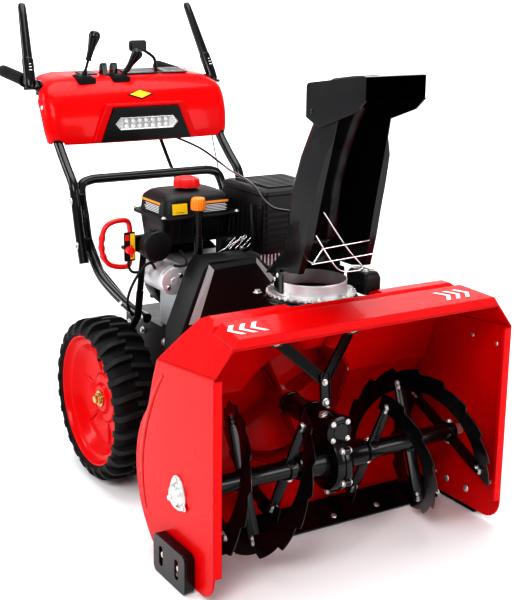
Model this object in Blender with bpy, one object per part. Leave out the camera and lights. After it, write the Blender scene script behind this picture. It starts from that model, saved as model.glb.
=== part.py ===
"""Two stage snowblower: an assembly of separate solids, one object for each piece.

Units are metres, +Z is up. Positions in the functions below are measured from the
mouth of the auger housing: x = 0 is the middle of the machine, -Y is forward, z = 0 is
the ground. The empty "machine" then moves everything so that the origin lies under the
middle of the whole machine. Right and left are the operator's, so right is -X.
"""
import math

import bmesh
import bpy
from mathutils import Matrix, Vector

# ---------------------------------------------------------------- driving dimensions
GAP = 0.0003
REACH_FRONT = -0.040
REACH_REAR = 1.4713
SHEET = 0.003

HALF_WIDTH = 0.3739
HEM = 0.0189
MOUTH_TOP = 0.554
CHAMFER_Z = 0.482
CHAMFER_X = 0.318
CHAMFER_BACK = (0.237, 0.455)

AUGER_Y = 0.147
AUGER_Z = 0.192
AUGER_RADIUS = 0.170
HOUSING_RADIUS = 0.200
AUGER_SHAFT_RADIUS = 0.0130
FLIGHT_START = 0.102
FLIGHT_END = 0.337
FLIGHT_TURN = math.radians(284)

IMPELLER_Z = 0.270
IMPELLER_RADIUS = 0.148
DRUM_RADIUS = 0.155
DRUM_BACK = 0.400

CHUTE_Y = 0.235
COLLAR_RADIUS = 0.0785

WHEEL_Y = 0.7225
WHEEL_RADIUS = 0.2027
AXLE_RADIUS = 0.0127

ENGINE_X = -0.060
ENGINE_Z = 0.500

TUBE_RADIUS = 0.0125
GRIP_RADIUS = 0.0170
LEVER_PIVOT = (0.276, 1.170, 0.925)
LEVER_TIP = (0.249, 1.287, 1.140)
CHUTE_LEVER_PIVOT = (-0.049, 1.140, 0.915)
DEFLECTOR_LEVER_PIVOT = (-0.149, 1.140, 0.915)
SHIFT_LEVER_PIVOT = (0.099, 1.185, 0.915)
DEFLECTOR_PIVOT = (0.0, 0.1600, 0.9440)

BLACK = (0.012, 0.012, 0.013)
RED = (0.75, 0.012, 0.010)
STEEL = (0.62, 0.62, 0.60)
RUBBER = (0.018, 0.018, 0.018)

for leftover in list(bpy.data.objects):
    bpy.data.objects.remove(leftover, do_unlink=True)

machine = bpy.data.objects.new("machine", None)
machine.location = (0.0, -(REACH_FRONT + REACH_REAR) / 2, 0.0)
bpy.context.collection.objects.link(machine)


# ---------------------------------------------------------------- shapes
def plane_point(axis, u, v, along):
    """Point with in-plane coordinates u, v and depth along the named axis."""
    if axis == "X":
        return Vector((along, u, v))
    if axis == "Y":
        return Vector((u, along, v))
    return Vector((u, v, along))


def closed(mesh):
    """Face normals out."""
    bmesh.ops.recalc_face_normals(mesh, faces=mesh.faces)
    return mesh


def loft(rings):
    """Closed solid through rings of equal length, flat at both ends."""
    mesh = bmesh.new()
    loops = [[mesh.verts.new(point) for point in ring] for ring in rings]
    for near, far in zip(loops, loops[1:]):
        for i in range(len(near)):
            j = (i + 1) % len(near)
            mesh.faces.new((near[i], near[j], far[j], far[i]))
    mesh.faces.new(list(reversed(loops[0])))
    mesh.faces.new(loops[-1])
    return closed(mesh)


def prism(axis, outline, low, high):
    """Outline of (u, v) points pushed along an axis from low to high."""
    return loft([[plane_point(axis, u, v, along) for u, v in outline] for along in (low, high)])


def block(low, high, round_by=0.0, steps=1):
    """Box between two corners, with optional rounded edges."""
    mesh = prism("Z", [(low[0], low[1]), (high[0], low[1]), (high[0], high[1]), (low[0], high[1])],
                 low[2], high[2])
    if round_by:
        bmesh.ops.bevel(mesh, geom=mesh.edges[:], offset=round_by, segments=steps,
                        profile=0.5, affect="EDGES")
    return closed(mesh)


def turned(axis, centre, profile, steps=24, ring=True):
    """Profile of (radius, along) points turned about an axis through centre (u, v).

    A ring profile closes on itself; otherwise it starts and ends on the axis.
    """
    mesh = bmesh.new()
    rows = []
    for radius, along in profile:
        if radius == 0:
            rows.append([mesh.verts.new(plane_point(axis, centre[0], centre[1], along))])
            continue
        row = []
        for i in range(steps):
            angle = 2 * math.pi * i / steps
            u = centre[0] + radius * math.cos(angle)
            v = centre[1] + radius * math.sin(angle)
            row.append(mesh.verts.new(plane_point(axis, u, v, along)))
        rows.append(row)
    pairs = list(zip(rows, rows[1:]))
    if ring:
        pairs.append((rows[-1], rows[0]))
    for near, far in pairs:
        for i in range(steps):
            j = (i + 1) % steps
            corners = [near[i % len(near)], near[j % len(near)], far[j % len(far)], far[i % len(far)]]
            mesh.faces.new(list(dict.fromkeys(corners)))
    return closed(mesh)


def cylinder(axis, centre, radius, low, high, steps=24):
    return turned(axis, centre, [(0, low), (radius, low), (radius, high), (0, high)], steps, ring=False)


def tube_between(axis, centre, outer, inner, low, high, steps=24):
    return turned(axis, centre, [(inner, low), (outer, low), (outer, high), (inner, high)], steps)


def smooth_path(points, per_span=3):
    """Catmull-Rom curve through the points."""
    padded = [points[0]] + list(points) + [points[-1]]
    route = []
    for a, b, c, d in zip(padded, padded[1:], padded[2:], padded[3:]):
        a, b, c, d = Vector(a), Vector(b), Vector(c), Vector(d)
        for i in range(per_span):
            t = i / per_span
            route.append(0.5 * (2 * b + (c - a) * t + (2 * a - 5 * b + 4 * c - d) * t ** 2
                                + (3 * b - a - 3 * c + d) * t ** 3))
    route.append(Vector(points[-1]))
    return route


def swept(path, section, up=(0, 0, 1)):
    """Section of (side, up) offsets carried along a path; section may be a function of t."""
    path = [Vector(point) for point in path]
    rings = []
    side = None
    for i, point in enumerate(path):
        ahead = (path[min(i + 1, len(path) - 1)] - path[max(i - 1, 0)]).normalized()
        if side is None:
            guide = Vector(up)
            if abs(ahead.dot(guide)) > 0.95:
                guide = Vector((0, 1, 0))
            side = ahead.cross(guide).normalized()
        side = (side - ahead * side.dot(ahead)).normalized()
        over = side.cross(ahead)
        outline = section(i / (len(path) - 1)) if callable(section) else section
        rings.append([point + side * a + over * b for a, b in outline])
    return loft(rings)


def circle(radius, sides=10):
    return [(radius * math.cos(2 * math.pi * i / sides), radius * math.sin(2 * math.pi * i / sides))
            for i in range(sides)]


def tube(path, radius, sides=10):
    return swept(path, circle(radius, sides))


def rounded_rectangle(x0, y0, x1, y1, radius, steps=3):
    """Corner-rounded rectangle, anticlockwise."""
    outline = []
    corners = ((x1 - radius, y1 - radius, 0), (x0 + radius, y1 - radius, 90),
               (x0 + radius, y0 + radius, 180), (x1 - radius, y0 + radius, 270))
    for x, y, start in corners:
        for i in range(steps + 1):
            angle = math.radians(start + 90 * i / steps)
            outline.append((x + radius * math.cos(angle), y + radius * math.sin(angle)))
    return outline


def offset_line(points, distance):
    """Open line moved sideways, to the right of its direction, by distance."""
    moved = []
    for i, point in enumerate(points):
        before = Vector(points[max(i - 1, 0)])
        after = Vector(points[min(i + 1, len(points) - 1)])
        here = Vector(point)
        normals = []
        for start, end in ((before, here), (here, after)):
            if (end - start).length > 0:
                way = (end - start).normalized()
                normals.append(Vector((way.y, -way.x)))
        total = sum(normals, Vector((0, 0))).normalized()
        moved.append(tuple(here + total * (distance / max(0.3, total.dot(normals[0])))))
    return moved


def sliced(mesh, point, normal):
    """Keep what lies behind the plane, and close the cut."""
    geometry = mesh.verts[:] + mesh.edges[:] + mesh.faces[:]
    cut = bmesh.ops.bisect_plane(mesh, geom=geometry, plane_co=point, plane_no=normal,
                                 clear_outer=True, dist=1e-7)
    rim = [item for item in cut["geom_cut"] if isinstance(item, bmesh.types.BMEdge)]
    bmesh.ops.holes_fill(mesh, edges=rim, sides=0)
    return closed(mesh)


def mirrored(point, sign):
    return (point[0] * sign, point[1], point[2])


# ---------------------------------------------------------------- objects
def finish(name, colour, roughness, metallic):
    material = bpy.data.materials.new(name)
    material.use_nodes = True
    shader = material.node_tree.nodes["Principled BSDF"]
    shader.inputs["Base Color"].default_value = (*colour, 1.0)
    shader.inputs["Roughness"].default_value = roughness
    shader.inputs["Metallic"].default_value = metallic
    return material


def add_object(name, shape, pivot):
    mesh = bpy.data.meshes.new(name)
    shape.transform(Matrix.Translation(-Vector(pivot)))
    shape.to_mesh(mesh)
    shape.free()
    item = bpy.data.objects.new(name, mesh)
    item.location = pivot
    item.parent = machine
    bpy.context.collection.objects.link(item)
    return item


def part(name, shape, look, joins=(), cuts=(), pivot=(0, 0, 0)):
    """One piece: a shape, the shapes joined to it, then the shapes cut from it."""
    item = add_object(name, shape, pivot)
    item.data.materials.append(finish(name + "_finish", *look))
    tools = [("UNION", tool) for tool in joins] + [("DIFFERENCE", tool) for tool in cuts]
    for number, (operation, tool) in enumerate(tools):
        guide = add_object(f"{name}_guide_{number}", tool, pivot)
        guide.hide_render = True
        guide.display_type = "WIRE"
        step = item.modifiers.new(f"{operation.lower()}_{number}", "BOOLEAN")
        step.operation = operation
        step.solver = "EXACT"
        step.object = guide
    item.data.shade_smooth()
    item.data.set_sharp_from_angle(angle=math.radians(35))
    return item


RED_PAINT = (RED, 0.25, 0.0)
BLACK_PAINT = (BLACK, 0.3, 0.0)
BLACK_PLASTIC = (BLACK, 0.45, 0.0)
BARE_STEEL = (STEEL, 0.3, 1.0)
BLACK_RUBBER = (RUBBER, 0.8, 0.0)


# ---------------------------------------------------------------- auger housing
def rear_wall_line():
    """Side view of the housing sheet, (y, z), from the top lip round to the scraper."""
    line = [(0.0, 0.5345), (0.100, 0.5385), (0.112, 0.5500), (0.130, 0.5590), (0.155, 0.5600),
            (0.178, 0.5500), (0.205, 0.5150), (0.237, 0.4630), (0.262, 0.4060)]
    for degrees in range(46, -67, -8):
        angle = math.radians(degrees)
        line.append((AUGER_Y + HOUSING_RADIUS * math.cos(angle),
                     AUGER_Z + HOUSING_RADIUS * math.sin(angle)))
    return line


def chamfer_planes(inset):
    """The two planes that take the upper corners off the housing."""
    front_low = Vector((HALF_WIDTH, 0, CHAMFER_Z))
    front_high = Vector((CHAMFER_X, 0, MOUTH_TOP))
    back = Vector((HALF_WIDTH, *CHAMFER_BACK))
    normal = (front_high - front_low).cross(back - front_low).normalized()
    if normal.x < 0:
        normal = -normal
    for side in (1, -1):
        flip = Vector((side, 1, 1))
        yield (front_low - normal * inset) * flip, normal * flip


def chamfered(mesh, inset=0.0):
    for point, normal in chamfer_planes(inset):
        sliced(mesh, point, normal)
    return mesh


def housing_outline(extra=0.0):
    """Closed side view of the housing, grown outward by extra."""
    line = offset_line(rear_wall_line(), -extra)
    return line + [(0.0, line[-1][1])]


def auger_housing():
    wide = HALF_WIDTH - SHEET - GAP
    line = rear_wall_line()
    inner_line = offset_line(line, SHEET)
    outer = chamfered(prism("X", line + [(0.0, line[-1][1])], -wide, wide))
    inner_outline = [(-0.05, inner_line[0][1])] + inner_line + [(inner_line[-1][0], -0.05), (-0.05, -0.05)]
    inner = chamfered(prism("X", inner_outline, -HALF_WIDTH, HALF_WIDTH), SHEET)
    platform = block((-0.118, 0.1330, 0.5370), (0.118, 0.30, 0.60))
    opening = cylinder("Y", (0, IMPELLER_Z), DRUM_RADIUS + SHEET + GAP, 0.20, 0.45, 32)
    part("housing_shell", outer, RED_PAINT, cuts=[inner, platform, opening, neck(SHEET + GAP)])

    outside = chamfered(prism("X", [(0, 0.5351), (0, MOUTH_TOP), (0.096, 0.562), (0.096, 0.5391)], -0.37, 0.37))
    hollow = chamfered(prism("X", [(SHEET, 0.50), (SHEET, 0.5510), (0.093, 0.5588), (0.093, 0.50)],
                             -0.37, 0.37), SHEET)
    part("mouth_band", outside, RED_PAINT, cuts=[hollow])

    front_corner = [(0.05 - 0.05 * math.sin(math.radians(a)), 0.062 - 0.05 * math.cos(math.radians(a)))
                    for a in range(0, 91, 15)]
    outline = line + [(0.200, 0.012)] + front_corner
    for side, name in ((-1, "side_panel_right"), (1, "side_panel_left")):
        near, far = sorted((side * (HALF_WIDTH - SHEET), side * HALF_WIDTH))
        panel = chamfered(prism("X", outline, near, far))
        low, high = sorted((side * (HALF_WIDTH - HEM), side * (HALF_WIDTH - 0.001)))
        hem = block((low, 0.0, 0.066), (high, 0.012, 0.478))
        shaft_hole = cylinder("X", (AUGER_Y, AUGER_Z), AUGER_SHAFT_RADIUS + GAP, side * 0.30, side * 0.40, 24)
        part(name, panel, RED_PAINT, joins=[hem], cuts=[shaft_hole])

        sole_low, sole_high = sorted((side * (HALF_WIDTH + 0.0005), side * 0.3986))
        pocket_low, pocket_high = sorted((side * 0.3600, side * 0.3946))
        shoe = prism("X", rounded_rectangle(0.076, 0.0, 0.218, 0.087, 0.014), sole_low, sole_high)
        pocket = prism("X", rounded_rectangle(0.080, 0.004, 0.214, 0.083, 0.010), pocket_low, pocket_high)
        slots = [prism("X", rounded_rectangle(y - 0.0075, 0.022, y + 0.0075, 0.066, 0.007),
                       side * 0.36, side * 0.42) for y in (0.113, 0.183)]
        part(name.replace("side_panel", "skid_shoe"), shoe, BLACK_PAINT, cuts=[pocket] + slots)

        start = side * (HALF_WIDTH + GAP)
        bearing = turned("X", (AUGER_Y, AUGER_Z), [
            (AUGER_SHAFT_RADIUS + GAP, start), (0.042, start), (0.042, start + side * 0.0035),
            (0.027, start + side * 0.005), (0.024, side * 0.3880), (AUGER_SHAFT_RADIUS + GAP, side * 0.3880)])
        part(name.replace("side_panel", "auger_bearing"), bearing, BARE_STEEL)

    scraper = prism("X", [(0.194, 0.0010), (0.262, 0.0345), (0.2595, 0.0390), (0.1915, 0.0058)],
                    -0.3540, 0.3540)
    part("scraper_bar", scraper, BLACK_PAINT)


def neck(wall):
    """Leaning outlet between the impeller drum and the chute, as a solid of its own outline."""
    foot = Vector((0, 0.350, 0.360))
    head = Vector((0, CHUTE_Y, 0.5375))
    way = (head - foot).normalized()
    shape = tube([foot, head + way * 0.060], 0.066 + wall, 24)
    return sliced(shape, Vector((0, 0, 0.5390)), Vector((0, 0, 1)))


def impeller_drum():
    drum = cylinder("Y", (0, IMPELLER_Z), DRUM_RADIUS + SHEET, 0.21, DRUM_BACK, 32)
    wall = prism("X", housing_outline(GAP), -0.30, 0.30)
    outside = neck(SHEET)
    bore = cylinder("Y", (0, IMPELLER_Z), DRUM_RADIUS, 0.15, DRUM_BACK - SHEET, 32)
    shaft_hole = cylinder("Y", (0, IMPELLER_Z), 0.0125, 0.35, 0.45, 16)
    drum_item = part("impeller_drum", drum, RED_PAINT, cuts=[wall])
    for number, (operation, tool) in enumerate((("UNION", outside), ("DIFFERENCE", bore),
                                                ("DIFFERENCE", neck(0.0)), ("DIFFERENCE", shaft_hole))):
        guide = add_object(f"impeller_drum_step_{number}", tool, (0, 0, 0))
        guide.hide_render = True
        guide.display_type = "WIRE"
        step = drum_item.modifiers.new(f"step_{number}", "BOOLEAN")
        step.operation = operation
        step.object = guide


# ---------------------------------------------------------------- rotor
def auger_flight(side, phase):
    """One serrated ribbon, a helix between two radii."""
    teeth = 12
    steps = teeth * 3
    rings = []
    for i in range(steps + 1):
        angle = phase + FLIGHT_TURN * i / steps
        along = side * (FLIGHT_START + (FLIGHT_END - FLIGHT_START) * i / steps)
        tip = AUGER_RADIUS - (0.013 if i % 3 == 0 else 0.0)
        ring = []
        for radius, offset in ((0.118, -0.002), (tip, -0.002), (tip, 0.002), (0.118, 0.002)):
            ring.append(Vector((along + side * offset, AUGER_Y + radius * math.cos(angle),
                                AUGER_Z + radius * math.sin(angle))))
        rings.append(ring)
    return loft(rings)


def spoke(side, phase, t):
    """Flat arm from the auger's sleeve to its ribbon."""
    angle = phase + FLIGHT_TURN * t
    along = side * (FLIGHT_START + (FLIGHT_END - FLIGHT_START) * t)
    root = Vector((along, AUGER_Y + 0.013 * math.cos(angle), AUGER_Z + 0.013 * math.sin(angle)))
    rim = Vector((along, AUGER_Y + 0.130 * math.cos(angle), AUGER_Z + 0.130 * math.sin(angle)))
    root.x += side * 0.0006
    rim.x += side * 0.0006
    return swept([root, rim], [(-0.004, -0.013), (0.004, -0.013), (0.004, 0.013), (-0.004, 0.013)], up=(1, 0, 0))


def augers():
    pivot = (0, AUGER_Y, AUGER_Z)
    half = [(0, 0.3860), (AUGER_SHAFT_RADIUS, 0.3860), (AUGER_SHAFT_RADIUS, 0.012), (0.0600, 0.012)]
    shaft = turned("X", (AUGER_Y, AUGER_Z), half + [(r, -x) for r, x in half[::-1]], 24, ring=False)
    part("auger_shaft", shaft, BARE_STEEL, pivot=pivot)
    for side, name in ((-1, "auger_right"), (1, "auger_left")):
        low, high = sorted((side * 0.098, side * 0.345))
        sleeve = tube_between("X", (AUGER_Y, AUGER_Z), 0.0200, AUGER_SHAFT_RADIUS + GAP, low, high, 20)
        extras = []
        for phase in (math.radians(-72), math.radians(108)):
            extras.append(auger_flight(side, phase))
            extras += [spoke(side, phase, t) for t in (0.03, 0.5, 0.97)]
        bore = cylinder("X", (AUGER_Y, AUGER_Z), AUGER_SHAFT_RADIUS + GAP, side * 0.08, side * 0.36, 20)
        part(name, sleeve, BLACK_PAINT, joins=extras, cuts=[bore], pivot=pivot)


def gearbox():
    case = cylinder("X", (AUGER_Y, AUGER_Z), 0.0700, -0.024, 0.024, 28)
    bosses = cylinder("X", (AUGER_Y, AUGER_Z), 0.0300, -0.090, 0.090, 24)
    nose = turned("Y", (0, IMPELLER_Z), [(0, 0.105), (0.026, 0.105), (0.036, 0.115), (0.036, 0.215),
                                         (0.027, 0.230), (0.027, 0.310), (0, 0.310)], 20, ring=False)
    wheel_room = cylinder("X", (AUGER_Y, AUGER_Z), 0.0630, -0.017, 0.017, 28)
    shaft_bore = cylinder("X", (AUGER_Y, AUGER_Z), AUGER_SHAFT_RADIUS + GAP, -0.10, 0.10, 24)
    worm_room = cylinder("Y", (0, IMPELLER_Z), 0.0175, 0.111, 0.320, 24)
    part("auger_gearbox", case, BLACK_PAINT, joins=[bosses, nose], cuts=[wheel_room, shaft_bore, worm_room])

    flat = [(-0.012, -0.002), (0.012, -0.002), (0.012, 0.002), (-0.012, 0.002)]
    apex = Vector((0, 0.176, 0.370))
    stem = swept([apex + Vector((0, 0, 0.008)), (0, 0.170, 0.3067)], flat, up=(0, 1, 0))
    arms = [swept([apex, (side * 0.090, 0.219, 0.452)], flat, up=(0, 1, 0)) for side in (-1, 1)]
    feet = [block((min(side * 0.084, side * 0.118), 0.2120, 0.4490), (max(side * 0.084, side * 0.118), 0.2160, 0.4710))
            for side in (-1, 1)]
    part("gearbox_bracket", stem, BLACK_PAINT, joins=arms + feet)


def impeller():
    pivot = (0, 0.355, IMPELLER_Z)
    centre = (0, IMPELLER_Z)
    shaft = turned("Y", centre, [
        (0, 0.1120), (0.0100, 0.1120), (0.0100, 0.1220), (0.0145, 0.1240), (0.0145, 0.1700), (0.0100, 0.1720),
        (0.0100, 0.4400), (0.090, 0.4400), (0.090, 0.4430), (0.080, 0.4465), (0.080, 0.4565), (0.090, 0.4600),
        (0.090, 0.4630), (0.0100, 0.4630), (0.0100, 0.4750), (0, 0.4750)], 24, ring=False)
    part("impeller_shaft", shaft, BARE_STEEL, pivot=pivot)
    hub = tube_between("Y", centre, 0.026, 0.0100 + GAP, 0.3300, 0.3860, 24)
    disc = tube_between("Y", centre, IMPELLER_RADIUS - 0.006, 0.018, 0.3820, 0.3845, 24)
    blades = []
    for i in range(4):
        angle = math.radians(20 + 90 * i)
        way = Vector((math.cos(angle), 0, math.sin(angle)))
        root = Vector((0, 0.3575, IMPELLER_Z)) + way * 0.018
        tip = Vector((0, 0.3575, IMPELLER_Z)) + way * IMPELLER_RADIUS
        blades.append(swept([root, tip], [(-0.002, -0.0255), (0.002, -0.0255), (0.002, 0.0275), (-0.002, 0.0275)],
                            up=(0, 1, 0)))
    part("impeller_fan", hub, RED_PAINT, joins=[disc] + blades, pivot=pivot)


# ---------------------------------------------------------------- chute
def chute_mount():
    centre = (0, CHUTE_Y)
    flange = turned("Z", centre, [(0.0750, 0.5395), (0.104, 0.5395), (0.104, 0.5450), (0.100, 0.5460),
                                  (0.100, 0.5520), (0.0750, 0.5520)], 28)
    ears = [block((side * 0.080 - 0.02, y - 0.02, 0.5395), (side * 0.080 + 0.02, y + 0.02, 0.5435), 0.0)
            for side in (-1, 1) for y in (CHUTE_Y - 0.072, CHUTE_Y + 0.072)]
    hole = cylinder("Z", centre, 0.0750, 0.50, 0.60, 28)
    part("chute_flange", flange, BLACK_PAINT, joins=ears, cuts=[hole])
    body = block((0.112, 0.190, 0.5395), (0.158, 0.265, 0.590), 0.008, 2)
    part("chute_drive_box", body, BLACK_PLASTIC)

    pivot = (0, CHUTE_Y, 0.5525)
    teeth = 22
    outline = []
    for i in range(teeth):
        for step, radius in ((0.0, 0.0945), (0.3, 0.0945), (0.5, 0.0990), (0.8, 0.0990)):
            angle = 2 * math.pi * (i + step) / teeth
            outline.append((radius * math.cos(angle), CHUTE_Y + radius * math.sin(angle)))
    gear = prism("Z", outline, 0.5525, 0.5575)
    collar = cylinder("Z", centre, COLLAR_RADIUS, 0.5550, 0.5850, 28)
    bore = cylinder("Z", centre, 0.0755, 0.50, 0.60, 28)
    part("chute_ring", gear, BARE_STEEL, joins=[collar], cuts=[bore], pivot=pivot)


def chute_section(front, rear, half_width, z_front, z_rear, flange, wall=0.0025):
    """Closed U outline at one height, flanges turned out along its front edges."""
    corner = 0.030
    outer = [(-half_width - flange, front), (-half_width - flange, front + wall), (-half_width, front + wall)]
    inner = []
    for i in range(4):
        angle = math.radians(180 - 90 * i / 3)
        outer.append((-half_width + corner + corner * math.cos(angle), rear - corner + corner * math.sin(angle)))
        inner.append((-half_width + corner + (corner - wall) * math.cos(angle),
                      rear - corner + (corner - wall) * math.sin(angle)))
    outer += [(-x, y) for x, y in reversed(outer)]
    inner = [(-half_width + wall, front)] + inner
    inner += [(-x, y) for x, y in reversed(inner)]
    ring = outer + list(reversed(inner))
    depth = rear - front
    return [Vector((x, y, z_front + (z_rear - z_front) * (y - front) / depth)) for x, y in ring]


def chute():
    pivot = (0, CHUTE_Y, 0.5525)
    levels = ((0.140, 0.3160, 0.0805, 0.642, 0.5920, 0.012), (0.124, 0.2520, 0.0735, 0.690, 0.650, 0.016),
              (0.110, 0.2420, 0.0720, 0.750, 0.720, 0.016), (0.094, 0.2290, 0.0705, 0.812, 0.790, 0.016),
              (0.078, 0.2020, 0.0685, 0.868, 0.860, 0.013), (0.068, 0.1680, 0.0670, 0.906, 0.925, 0.001),
              (0.058, 0.1450, 0.0655, 0.948, 0.962, 0.001))
    rings = [chute_section(*level) for level in levels]
    skirt = turned("Z", (0, CHUTE_Y), [(COLLAR_RADIUS + GAP, 0.5600), (0.0815, 0.5600), (0.0815, 0.6020),
                                       (COLLAR_RADIUS + GAP, 0.6020)], 28)
    front_cut = block((-0.2, 0.0, 0.50), (0.2, 0.2400, 0.640))
    bore = cylinder("Z", (0, CHUTE_Y), COLLAR_RADIUS + GAP, 0.50, 0.5860, 28)
    part("chute_body", skirt, BLACK_PAINT, joins=[loft(rings)], cuts=[bore, front_cut], pivot=pivot)


def deflector():
    outline = [(0.1625, 0.9440), (0.1625, 1.0060), (0.1540, 1.0140), (-0.030, 1.0400), (-0.040, 1.0390),
               (-0.040, 0.9950), (-0.010, 0.9700), (0.116, 0.9270)]
    hood = prism("X", outline, -0.0710, 0.0710)
    inside = prism("X", [(0.1600, 0.90), (0.1600, 1.0050), (0.1525, 1.0112), (-0.030, 1.0370), (-0.100, 1.0400),
                         (-0.100, 0.90)], -0.0690, 0.0690)
    rib = block((-0.040, 0.060, 1.0150), (0.040, 0.120, 1.0330), 0.003)
    part("deflector", hood, BLACK_PAINT, joins=[rib], cuts=[inside], pivot=DEFLECTOR_PIVOT)


def guard_wires():
    pivot = (0, CHUTE_Y, 0.5525)
    sill = [(-0.0790, 0.1330, 0.648), (-0.0550, 0.0900, 0.650), (0.0550, 0.0900, 0.650), (0.0790, 0.1330, 0.648)]
    part("guard_wire", tube(sill, 0.003, 8), BARE_STEEL, pivot=pivot)


# ---------------------------------------------------------------- drive side
def wheels():
    pivot = (0, WHEEL_Y, WHEEL_RADIUS)
    centre = (WHEEL_Y, WHEEL_RADIUS)
    axle = turned("X", centre, [(0, -0.298), (AXLE_RADIUS, -0.298), (AXLE_RADIUS, 0.030), (0.055, 0.030),
                                (0.055, 0.035), (AXLE_RADIUS, 0.035), (AXLE_RADIUS, 0.298), (0, 0.298)],
                  20, ring=False)
    part("axle_shaft", axle, BARE_STEEL, pivot=pivot)
    rim_profile = [(0.0130, 0.235), (0.0280, 0.235), (0.0280, 0.276), (0.060, 0.279), (0.146, 0.306),
                   (0.1500, 0.226), (0.1540, 0.226), (0.1545, 0.306), (0.1640, 0.3215), (0.1625, 0.3245),
                   (0.060, 0.288), (0.0130, 0.292)]
    tyre_profile = [(0.1562, 0.2240), (0.1562, 0.3045), (0.1665, 0.3225), (0.178, 0.3350), (0.192, 0.3330),
                    (WHEEL_RADIUS, 0.3180), (WHEEL_RADIUS, 0.2270), (0.192, 0.2120), (0.178, 0.2100)]
    for side, name in ((-1, "right"), (1, "left")):
        part("rim_" + name, turned("X", centre, [(r, side * x) for r, x in rim_profile], 24), RED_PAINT, pivot=pivot)
        part("tyre_" + name, turned("X", centre, [(r, side * x) for r, x in tyre_profile], 28), BLACK_RUBBER,
             pivot=pivot)


def chassis():
    box = block((-0.155, 0.4985, 0.125), (0.155, 0.860, 0.385))
    room = block((-0.152, 0.5015, 0.10), (0.152, 0.857, 0.382))
    plate = block((-0.155, 0.4985, 0.380), (0.010, 0.5015, 0.570))
    arms = [block((min(side * 0.150, side * 0.169), 0.4950, 0.170), (max(side * 0.150, side * 0.169), 0.5010, 0.350))
            for side in (-1, 1)]
    arms += [block((min(side * 0.166, side * 0.169), 0.3520, 0.170), (max(side * 0.166, side * 0.169), 0.5010, 0.350))
             for side in (-1, 1)]
    axle_hole = cylinder("X", (WHEEL_Y, WHEEL_RADIUS), 0.0140, -0.20, 0.20, 20)
    crank_hole = cylinder("Y", (ENGINE_X, ENGINE_Z), 0.0230, 0.48, 0.52, 24)
    part("chassis", box, BLACK_PAINT, joins=[plate] + arms, cuts=[room, axle_hole, crank_hole])


def hull_of_pulleys(grow):
    """Outline round the engine pulley and the impeller pulley, (x, z)."""
    small = Vector((ENGINE_X, ENGINE_Z))
    large = Vector((0.0, IMPELLER_Z))
    small_radius, large_radius = 0.0300 + grow, 0.0800 + grow
    way = small - large
    tilt = math.acos((large_radius - small_radius) / way.length)
    heading = math.atan2(way.y, way.x)
    outline = []
    for i in range(9):
        angle = heading - tilt + 2 * tilt * i / 8
        outline.append(tuple(small + small_radius * Vector((math.cos(angle), math.sin(angle)))))
    for i in range(17):
        angle = heading + tilt + (2 * math.pi - 2 * tilt) * i / 16
        outline.append(tuple(large + large_radius * Vector((math.cos(angle), math.sin(angle)))))
    return outline


def belt_drive():
    belt = prism("Y", hull_of_pulleys(0.0085), 0.4470, 0.4560)
    inside = prism("Y", hull_of_pulleys(0.0010), 0.44, 0.47)
    part("drive_belt", belt, BLACK_RUBBER, cuts=[inside])
    pulley = turned("Y", (ENGINE_X, ENGINE_Z), [
        (0, 0.4400), (0.040, 0.4400), (0.040, 0.4430), (0.0300, 0.4465), (0.0300, 0.4565), (0.040, 0.4600),
        (0.040, 0.4630), (0.0125, 0.4640), (0.0125, 0.5110), (0, 0.5110)], 24, ring=False)
    part("engine_pulley", pulley, BARE_STEEL, pivot=(ENGINE_X, 0.45, ENGINE_Z))

    outline = [(-0.232, 0.3580), (-0.224, 0.440), (-0.166, 0.580), (-0.150, 0.598), (-0.030, 0.598),
               (0.008, 0.570), (0.050, 0.500), (0.092, 0.400), (0.112, 0.270), (0.085, 0.190),
               (0.040, 0.165), (-0.050, 0.165), (-0.120, 0.200), (-0.158, 0.250), (-0.160, 0.3580)]
    middle = Vector((-0.06, 0.40))
    inner = [tuple(Vector(point) + (middle - Vector(point)).normalized() * 0.004) for point in outline]
    shell = prism("Y", outline, 0.4200, 0.4950)
    room = prism("Y", inner, 0.4230, 0.60)
    foot = [(-0.205, 0.366), (0.058, 0.366), (0.020, 0.542), (-0.028, 0.593), (-0.151, 0.591), (-0.205, 0.458)]
    crown = [(-0.185, 0.370), (0.040, 0.370), (0.006, 0.533), (-0.034, 0.584), (-0.144, 0.580), (-0.185, 0.460)]
    face = loft([[Vector((x, y, z)) for x, z in ring] for ring, y in ((foot, 0.4210), (crown, 0.4110))])
    shaft_hole = cylinder("Y", (0, IMPELLER_Z), 0.0120, 0.40, 0.43, 16)
    part("belt_cover", shell, BLACK_PLASTIC, joins=[face], cuts=[room, shaft_hole])


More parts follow.
